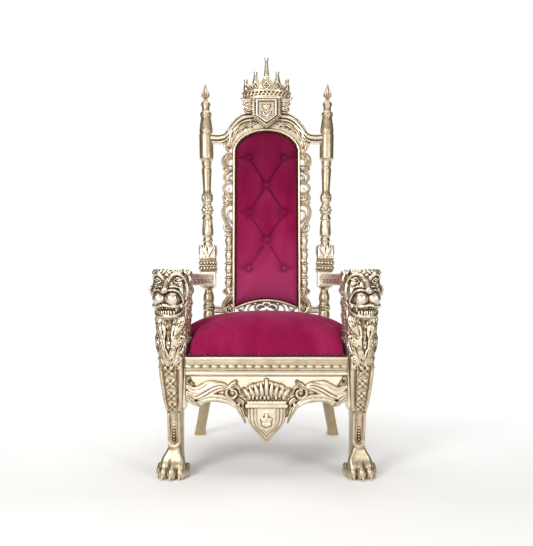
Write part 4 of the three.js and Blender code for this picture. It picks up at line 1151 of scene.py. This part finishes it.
def seat_rails():
    """Front rail with a cove and a half round, and plainer side rails."""
    front = -RAIL_FRONT
    cove = [(front + 4 - 5 * math.sin(a) ** 2, 436 - 14 * a / math.pi, 0.08)
            for a in np.linspace(0.3, math.pi - 0.3, 6)]
    profile = [(front - 32, 376.2, 0), *half_round(front - 4, 386, 10, 9.6, -0.1, 9),
               (front - 2, 397, 0.35), (front + 1, 402, -0.1), (front + 1, 404.5, 0.4), (front - 1, 405, 0.5),
               (front - 1, 418, 0.5), (front + 3, 419, 0.1), *cove[::-1],
               *half_round(front + 3, 442, 6, 5.6, -0.1, 7), (front - 32, 448, 0)]
    moulding("front_rail_moulding", profile, (-299.7, 0, 0), (299.7, 0, 0), "seat_rail_front")
    for suffix, way in (("_left", -1), ("_right", 1)):
        start, end = (way * 372, -237.7, 0), (way * 300, 211.7, 0)
        if way < 0:
            start, end = end, start
        profile = [(-30, 320, 0), (-6, 320, 0), (-6, 371, 0.35), *half_round(0.5, 381, 2.5, 9, 0.05, 7),
                   (-2, 391, 0.4), (-4, 404, 0.25), (0, 405, 0.2), (0, 419, 0.2), (-3, 424, 0.35),
                   (-1, 436, 0.1), (0, 442, 0), (-2, 447.6, 0), (-30, 447.6, 0)]
        moulding("side_rail_moulding" + suffix, profile, end, start, "seat_rail_side" + suffix)


def dress_node(name, finish):
    """A plain solid that stays as it is and only takes its finish."""
    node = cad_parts[name]
    node.data.materials.clear()
    node.data.materials.append(finish)


def arms():
    """Arms with a rounded top, a bead along each side and a row of leaves under it."""
    length = 462.0
    c = Carving((-36, -6, 706), (36, length + 4, 764), 2.0)

    def shape(X, Y, Z):
        top = np.abs(X) - 21 - 6 * np.sqrt(np.clip(1 - ((Z - 748) / 12) ** 2, 0, 1))
        return np.maximum(top, np.maximum(np.maximum(712 - Z, Z - 760), np.maximum(0 - Y, Y - length)))
    c.blend((-30, 0, 712), (30, length, 760), shape, 0)
    c.block((-24, 0, 712), (24, length, 722), 2, edge=4)
    for way in (-1, 1):
        c.strand([(way * 24, 0, 742), (way * 24, length, 742)], [2.6, 2.6], 1, smooth=False)
        for i in range(7):
            y0 = 20 + i * 62
            c.leaf([(way * 22, y0, 728), (way * 24, y0 + 26, 733), (way * 22, y0 + 54, 727)], 11, (way, 0, 0))
        c.strand([(way * 12, 8, 761), (way * 12, length - 8, 761)], [1.6, 1.6], 1, cut=True, smooth=False)
    points, faces, hollow = c.surface()
    turn = math.radians(10)
    fx, fy = -LEG_X + 60.3 * math.sin(turn), LEG_Y + 60.3 * math.cos(turn)
    bx, by = -(POST_X + 312 * math.tan(POST_SPLAY)), BACK_Y - 18
    run = math.hypot(bx - fx, by - fy)
    points[:, 1] *= (run - 2) / length
    place = Matrix.Translation((fx, fy, 0)) @ Matrix.Rotation(math.atan2(-(bx - fx), by - fy), 4, "Z")
    for suffix, matrix in (("_left", place), ("_right", MIRROR @ place)):
        mesh = make_mesh("arm_carving" + suffix, points, faces, hollow, matrix)
        add_piece("arm_carving" + suffix, mesh, GILT, ["arm" + suffix])


# ------------------------------------------------------------------ upholstery
FILL_FRAMES = 18
FILL_PRESSURE = 3.0


def swell(mesh, held, farthest):
    """Lets the cover fill out, with the held points fixed, moving by less than farthest millimetres."""
    cover = bpy.data.objects.new("cover_being_filled", mesh)
    bpy.context.scene.collection.objects.link(cover)
    group = cover.vertex_groups.new(name="held")
    for weight in np.unique(np.round(held, 2)):
        if weight > 0:
            group.add([int(i) for i in np.nonzero(np.round(held, 2) == weight)[0]], float(weight), "REPLACE")
    cloth = cover.modifiers.new("cover", "CLOTH")
    cloth.settings.quality = 5
    cloth.settings.mass = 0.25
    cloth.settings.tension_stiffness = 12
    cloth.settings.compression_stiffness = 12
    cloth.settings.shear_stiffness = 6
    cloth.settings.bending_stiffness = 0.4
    cloth.settings.vertex_group_mass = "held"
    cloth.settings.use_pressure = True
    cloth.settings.uniform_pressure_force = FILL_PRESSURE
    cloth.settings.effector_weights.gravity = 0
    cloth.point_cache.frame_start = 1
    cloth.point_cache.frame_end = FILL_FRAMES
    scene = bpy.context.scene
    before = np.zeros(len(mesh.vertices) * 3, np.float32)
    mesh.vertices.foreach_get("co", before)
    for moment in range(1, FILL_FRAMES + 1):
        scene.frame_set(moment)
    shaped = cover.evaluated_get(bpy.context.evaluated_depsgraph_get())
    after = np.zeros_like(before)
    shaped.data.vertices.foreach_get("co", after)
    scene.frame_set(1)
    bpy.data.objects.remove(cover)
    move = (after - before).reshape(-1, 3)
    size = np.linalg.norm(move, axis=1, keepdims=True)
    limit = farthest * MM
    move *= np.minimum(1, limit * np.tanh(size / limit) / np.maximum(size, 1e-9))
    mesh.vertices.foreach_set("co", (before.reshape(-1, 3) + move).ravel())
    mesh.update()


def seat_half(y):
    """Half the width of the seat at depth y."""
    return 335 - 0.168 * (y + 58)


def seat_cushion():
    """Domed seat: the cover is stretched over springs and nailed to the top of the rails."""
    c = Carving((-380, -332, 440), (380, 216, 612), 6.5)

    def shape(X, Y, Z):
        high = Z - SEAT_BASE
        lean = 0.0016 * np.maximum(high, 0) ** 2
        front = -314 - Y + lean - 3 * np.sin(np.clip(high / 70, 0, 1) * np.pi)
        back = Y - 199 + lean
        side = (np.abs(X) - seat_half(Y) + 2) + lean
        # hollowed where the lions stand
        corner = np.minimum(np.abs(X) - 291 + 0.03 * high + 0.0012 * np.maximum(high, 0) ** 2, -(Y + 222))
        plan = -smooth_min(-side, smooth_min(-front, -back, 10), 30)
        plan = -smooth_min(-plan, -corner, 26)
        u, v = X / 330, (Y + 30) / 275
        dome = 597 - 44 * np.abs(u) ** 2.2 - 52 * np.abs(v) ** 3.4
        return np.maximum(-smooth_min(-plan, -(Z - dome) * 0.9, 25), SEAT_BASE - Z)
    c.blend((-378, -330, 446), (378, 212, 606), shape, 0)
    points, faces, hollow = c.surface(even=True)
    mesh = make_mesh("seat_cover", points, faces, hollow * 0.0)
    held = np.clip(1 - (points[:, 2] - SEAT_BASE) / 16, 0, 1)
    swell(mesh, held, 7)
    seat = add_piece("seat_cover", mesh, VELVET, ["seat_cushion"])
    refine(seat)


def refine(piece):
    """One round of subdivision, applied."""
    smoother = piece.modifiers.new("fine", "SUBSURF")
    smoother.levels = smoother.render_levels = 1
    shaped = piece.evaluated_get(bpy.context.evaluated_depsgraph_get())
    mesh = bpy.data.meshes.new_from_object(shaped)
    piece.modifiers.clear()
    old = piece.data
    name = old.name
    piece.data = mesh
    bpy.data.meshes.remove(old)
    mesh.name = name


def pleats():
    """The lines between the tufts, and out to the edge: (from, to, depth)."""
    lines = []
    for x, z in BUTTONS:
        if x == 0:
            for px, pz in BUTTONS:
                if px and abs(pz - z) < 140:
                    lines.append(((x, z), (px, pz), 9.0))
        else:
            lines.append(((x, z), (math.copysign(150, x), z + 3), 8.0))
    # gathers that fan out from the middle tufts
    for way in (-1, 1):
        for x, z in ((26, 640), (20, 616), (20, 592), (28, 566)):
            lines.append(((way * 82, 598), (way * x, z), 3.0))
    for x in (-26, 0, 26):
        lines.append(((0, 468), (x, 420), 3.0))
    return lines


def line_gap(x, z, start, end):
    """How far along a straight line each place lies, from 0 to 1, and how far off it."""
    (x0, z0), (x1, z1) = start, end
    ex, ez = x1 - x0, z1 - z0
    t = np.clip(((x - x0) * ex + (z - z0) * ez) / (ex * ex + ez * ez), 0, 1)
    return t, np.hypot(x - x0 - t * ex, z - z0 - t * ez)


def crease(x, z, wide=5.0):
    """How deep in a pleat or a tuft each place is, from 0 to 1."""
    deepest = np.zeros(len(x))
    for start, end, deep in pleats():
        t, gap = line_gap(x, z, start, end)
        deepest = np.maximum(deepest, 0.1 * deep * (1 - 0.3 * t) * np.exp(-(gap / wide) ** 2))
    for x0, z0 in BUTTONS:
        deepest = np.maximum(deepest, np.exp(-((x - x0) ** 2 + (z - z0) ** 2) / 15**2))
    return np.clip(deepest, 0, 1)


def pad_front(X, Z):
    """How far the padding stands out at each place of the back panel."""
    outline = np.array([*arch_head(-2), *panel_foot(-2)])
    edge = np.maximum(-polygon_distance(outline, X, Z), 0)
    out = 24 * (1 - np.exp(-edge / 16)) + 5 * (1 - np.exp(-edge / 60))
    for x, z in BUTTONS:
        gap = np.hypot(X - x, Z - z)
        out = out - 20 * np.exp(-(gap / 17) ** 1.5) - 4 * np.exp(-(gap / 45) ** 2)
    for start, end, deep in pleats():
        gap = line_gap(X, Z, start, end)[1]
        out = out - 0.75 * deep * np.exp(-gap / 6) - 0.35 * deep * np.exp(-(gap / 24) ** 2)
    # small gathers round the tufts of the middle row
    for x, z in BUTTONS:
        gap = np.hypot(X - x, Z - z)
        angle = np.arctan2(Z - z, X - x)
        out = out + 0.9 * np.sin(angle * 15 + x) * np.exp(-((gap - 34) / 20) ** 2)
    return np.maximum(out, 3)


def back_pad():
    """Button-tufted panel: pleats run between the tufts and out to the sides."""
    c = Carving((-155, -40, 155), (155, 15, 1000), 5.0)
    outline = np.array([*arch_head(-1.5), *panel_foot(-1.5)])

    def shape(X, Y, Z):
        plan = polygon_distance(outline, X[:, 0], Z[0])[:, None, :]
        front = pad_front(X[:, 0], Z[0])[:, None, :]
        return np.maximum(np.maximum(plan, (-Y - front + 2) * 0.8), Y - 5)
    c.blend((-148, -36, 162), (148, 8, 990), shape, 0)
    points, faces, hollow = c.surface(even=True)
    # painted shade in the hollows, along the pleats and round the tufts
    shade = np.clip(hollow - 0.25, 0, 0.5)
    shade = np.maximum(shade, np.where(points[:, 1] < -6, 0.62 * crease(points[:, 0], points[:, 2]), 0))
    mesh = make_mesh("tufted_back", points, faces, shade)
    held = np.maximum(points[:, 1] > -3, crease(points[:, 0], points[:, 2], 8.0))
    swell(mesh, held, 5)
    place = np.array(BACK_PLACE)
    co = np.zeros(len(mesh.vertices) * 3, np.float32)
    mesh.vertices.foreach_get("co", co)
    co = co.reshape(-1, 3) @ place[:3, :3].T + place[:3, 3] * MM
    mesh.vertices.foreach_set("co", co.astype(np.float32).ravel())
    mesh.update()
    pad = add_piece("tufted_back", mesh, VELVET, ["back_pad"])
    refine(pad)


def dome(name, profile, around, stretch=1.0, offset=(0, 0, 0), place=Matrix.Identity(4)):
    """A closed dome facing the front, from (radius, depth) pairs in millimetres."""
    points = [(r * math.cos(a) * stretch, y, r * math.sin(a)) for r, y in profile
              for a in np.linspace(0, 2 * np.pi, around, endpoint=False)]
    points = np.array(points) + offset
    mesh = make_mesh(name, points, ring_faces(around, len(profile)), np.zeros(len(points)), place)
    work = bmesh.new()
    work.from_mesh(mesh)
    bmesh.ops.remove_doubles(work, verts=work.verts, dist=1e-6)
    bmesh.ops.recalc_face_normals(work, faces=work.faces)
    work.to_mesh(mesh)
    work.free()
    return mesh


def buttons():
    """Covered buttons, each sunk in its tuft."""
    profile = [(0, -6), (3.4, -5.7), (6.8, -4.4), (9, -2.4), (9.8, 0), (9, 1.4), (5, 2.5), (0, 3)]
    for i, (x, z) in enumerate(BUTTONS):
        name = "tuft_button_%d" % (i + 1)
        mesh = dome(name, profile, 20, offset=(x, -8, z), place=BACK_PLACE)
        add_piece(name, mesh, VELVET, ["back_button_%d" % (i + 1)])


def outside_back():
    """Plain velvet panel on the back of the frame, a little full, with a turned-in edge."""
    c = Carving((-160, 10, 148), (160, 34, 1004), 4.0)
    outline = np.array([*arch_head(RIM - 4), *panel_foot(RIM - 4)])

    def shape(X, Y, Z):
        plan = polygon_distance(outline, X[:, 0], Z[0])[:, None, :]
        full = 6.5 * (1 - np.exp(np.minimum(plan, 0) / 18))
        return np.maximum(-smooth_min(-plan, -(Y - 19.5 - full), 5), 14.4 - Y)
    c.blend((-156, 14, 152), (156, 30, 1000), shape, 0)
    points, faces, hollow = c.surface()
    mesh = make_mesh("outside_back_cover", points, faces, hollow * 0, BACK_PLACE)
    panel = add_piece("outside_back_cover", mesh, VELVET, ["back_board"])


# ------------------------------------------------------------------ rows of small things
def row_tree():
    """Sets copies of one small piece along a line at an even spacing."""
    tree = bpy.data.node_groups.new("ornament_row", "GeometryNodeTree")
    face = tree.interface
    face.new_socket("Line", in_out="INPUT", socket_type="NodeSocketGeometry")
    face.new_socket("Ornament", in_out="INPUT", socket_type="NodeSocketObject")
    face.new_socket("Spacing", in_out="INPUT", socket_type="NodeSocketFloat")
    face.new_socket("Finish", in_out="INPUT", socket_type="NodeSocketMaterial")
    face.new_socket("Row", in_out="OUTPUT", socket_type="NodeSocketGeometry")
    given = add_node(tree, "NodeGroupInput").outputs
    path = add_node(tree, "GeometryNodeMeshToCurve", {"Mesh": given["Line"]})
    even = add_node(tree, "GeometryNodeResampleCurve", {"Curve": path.outputs[0], "Length": given["Spacing"]},
                    mode="LENGTH")
    thing = add_node(tree, "GeometryNodeObjectInfo", {"Object": given["Ornament"]})
    copies = add_node(tree, "GeometryNodeInstanceOnPoints",
                      {"Points": even.outputs[0], "Instance": thing.outputs["Geometry"]})
    real = add_node(tree, "GeometryNodeRealizeInstances", {"Geometry": copies.outputs[0]})
    finish = add_node(tree, "GeometryNodeSetMaterial",
                      {"Geometry": real.outputs[0], "Material": given["Finish"]})
    add_node(tree, "NodeGroupOutput", {"Row": finish.outputs[0]})
    return tree


ROW = row_tree()


def ornament(name, profile, around=10, stretch=1.0, turn=Matrix.Identity(4)):
    """One small dome to be set along a line."""
    return bpy.data.objects.new(name, dome(name, profile, around, stretch, place=turn))


def ornament_row(name, line, thing, spacing, finish):
    """A plain mesh of ornaments along a line of points in millimetres."""
    mesh = bpy.data.meshes.new(name)
    line = np.asarray(line, float) * MM
    mesh.from_pydata([tuple(p) for p in line], [(i, i + 1) for i in range(len(line) - 1)], [])
    holder = bpy.data.objects.new(name + "_line", mesh)
    bpy.context.scene.collection.objects.link(holder)
    modifier = holder.modifiers.new("row", "NODES")
    modifier.node_group = ROW
    inputs = {i.name: i.identifier for i in ROW.interface.items_tree if i.in_out == "INPUT"}
    modifier[inputs["Ornament"]] = thing
    modifier[inputs["Spacing"]] = spacing * MM
    modifier[inputs["Finish"]] = finish
    made = bpy.data.meshes.new_from_object(holder.evaluated_get(bpy.context.evaluated_depsgraph_get()))
    bpy.data.objects.remove(holder)
    add_piece(name, made, finish, [])


def panel_row(name, thing, grow, depth, spacing):
    """Nails all round the back panel, grow millimetres outside its edge."""
    path = [*arch_head(grow), *panel_foot(grow)]
    path.append(path[0])
    line = placed([(x, depth, z) for x, z in path], BACK_PLACE)
    ornament_row(name, line, thing, spacing, BRASS_NAILS)


def small_rows():
    """Dashes on the front rail, and nails round the seat and the back panel."""
    dash = ornament("rail_dash", [(0, -5.5), (4, -5.2), (6.2, -3.6), (6.8, -1), (6.8, 3), (0, 3)], 16, 2.0)
    ornament_row("rail_dashes", [(-290, -317, 411.5), (290, -317, 411.5)], dash, 32.2, GILT)
    head = [(0, -3.4), (2.4, -3.1), (4.3, -2.0), (5.2, 0), (4.4, 1.2), (0, 1.2)]
    nail = ornament("seat_nail", head)
    ornament_row("front_nails", [(-286, -316.5, 455), (286, -316.5, 455)], nail, 28.6, BRASS_NAILS)
    for suffix, way in (("_left", -1), ("_right", 1)):
        turn = Matrix.Rotation(way * math.radians(80.5), 4, "Z")
        side_nail = ornament("side_nail" + suffix, head, turn=turn)
        line = [(way * (seat_half(y) - 0.5), y, 455) for y in (-212, 0, 188)]
        ornament_row("side_nails" + suffix, line, side_nail, 28.6, BRASS_NAILS)
    lean = Matrix.Rotation(BACK_LEAN, 4, "X")
    small = ornament("panel_nail", [(r * 0.5, y * 0.5) for r, y in head], 8, turn=lean)
    panel_row("panel_nails", small, -4.5, -8.6, 14.0)
    back_nail = ornament("outside_nail", [(r * 0.7, -y * 0.7) for r, y in head], 8, turn=lean)
    panel_row("outside_back_nails", back_nail, RIM - 9, 21.5, 22.0)


# ------------------------------------------------------------------ the whole throne
front_legs()
back_posts()
crest_rail()
back_stiles()
bottom_rail()
crest_shield()
crest_crown()
apron()
seat_rails()
arms()
# the rear legs and the back rail take the darker gilding, painted shade that keeps them back
for rear in ("rear_leg_left", "rear_leg_right", "seat_rail_rear"):
    dress_node(rear, REAR_SHADED_GILT)
dress_node("seat_deck", BOARD)
seat_cushion()
back_pad()
buttons()
outside_back()
small_rows()


# ------------------------------------------------------------------ studio
def softbox(name, place, target, size, power):
    """A flat light that faces its target."""
    light = bpy.data.lights.new(name, "AREA")
    light.shape = "RECTANGLE"
    light.size, light.size_y = size
    light.energy = power
    lamp = bpy.data.objects.new(name, light)
    lamp.location = place
    lamp.rotation_euler = (Vector(target) - Vector(place)).to_track_quat("-Z", "Y").to_euler()
    bpy.context.scene.collection.objects.link(lamp)


def studio():
    """Pale floor before a white wall, with soft light from the front left, the right, low down and above."""
    paint, tree, shader = new_finish("pale_studio_floor", Roughness=0.9, Base_Color=linear("#F7F7F7"))
    # glows more with distance, so that it runs off into the white wall behind
    place = add_node(tree, "ShaderNodeTexCoord").outputs["Object"]
    away = add_node(tree, "ShaderNodeSeparateXYZ", {"Vector": place})
    share = add_node(tree, "ShaderNodeMath", {0: away.outputs["Y"]}, operation="MULTIPLY_ADD")
    share.inputs[1].default_value = 0.2
    share.inputs[2].default_value = 0.2
    glow = ramp(tree, share.outputs[0], [(0.1, grey(0.04)), (0.28, grey(0.3)), (0.75, grey(1.0))])
    tree.links.new(glow.outputs["Color"], shader.inputs["Emission Color"])
    shader.inputs["Emission Strength"].default_value = 1.0
    mesh = bpy.data.meshes.new("studio_floor")
    mesh.from_pydata([(-9, -9, 0), (9, -9, 0), (9, 9, 0), (-9, 9, 0)], [], [(0, 1, 2, 3)])
    mesh.materials.append(paint)
    floor = bpy.data.objects.new("studio_floor", mesh)
    bpy.context.scene.collection.objects.link(floor)
    world = bpy.data.worlds.new("studio_room")
    bpy.context.scene.world = world
    world.use_nodes = True
    tree = world.node_tree
    sky = tree.nodes["Background"]
    direction = add_node(tree, "ShaderNodeTexCoord").outputs["Generated"]
    apart = add_node(tree, "ShaderNodeSeparateXYZ", {"Vector": direction})
    # a white wall behind the throne, and a dim warm room round the rest of it
    shifted = add_node(tree, "ShaderNodeMath", {0: apart.outputs["Y"]}, operation="MULTIPLY_ADD")
    shifted.inputs[1].default_value = 0.5
    shifted.inputs[2].default_value = 0.5
    depth = ramp(tree, shifted.outputs[0], [
        (0.0, linear("#FFFBF4")), (0.07, linear("#E2DCD3")), (0.2, linear("#877F76")),
        (0.4, linear("#39322B")), (0.885, linear("#39322B")), (0.915, grey(1.0))])
    tree.links.new(depth.outputs["Color"], sky.inputs["Color"])
    sky.inputs["Strength"].default_value = 1.0
    softbox("key_light", (-1.6, -2.7, 2.0), (0, 0, 0.8), (1.1, 1.5), 61)
    softbox("fill_light", (2.0, -2.3, 1.6), (0, 0, 0.8), (0.9, 1.8), 24)
    softbox("low_front_light", (0.0, -3.0, 0.3), (0, 0, 0.4), (2.4, 0.4), 9)
    softbox("top_light", (0.0, 0.2, 3.6), (0, 0, 0.2), (3.0, 3.0), 66)


def place_camera():
    """The view from the front, at the height of the arms."""
    lens = bpy.data.cameras.new("view")
    camera = bpy.data.objects.new("view", lens)
    camera.location = (0.0, -2.65, 0.721)
    camera.rotation_euler = (math.pi / 2, 0, 0)
    lens.sensor_width = 36.0
    lens.lens = 41.47
    lens.shift_y = 0.0183
    bpy.context.scene.collection.objects.link(camera)
    bpy.context.scene.camera = camera


studio()
place_camera()
bpy.context.scene.view_settings.view_transform = "Standard"
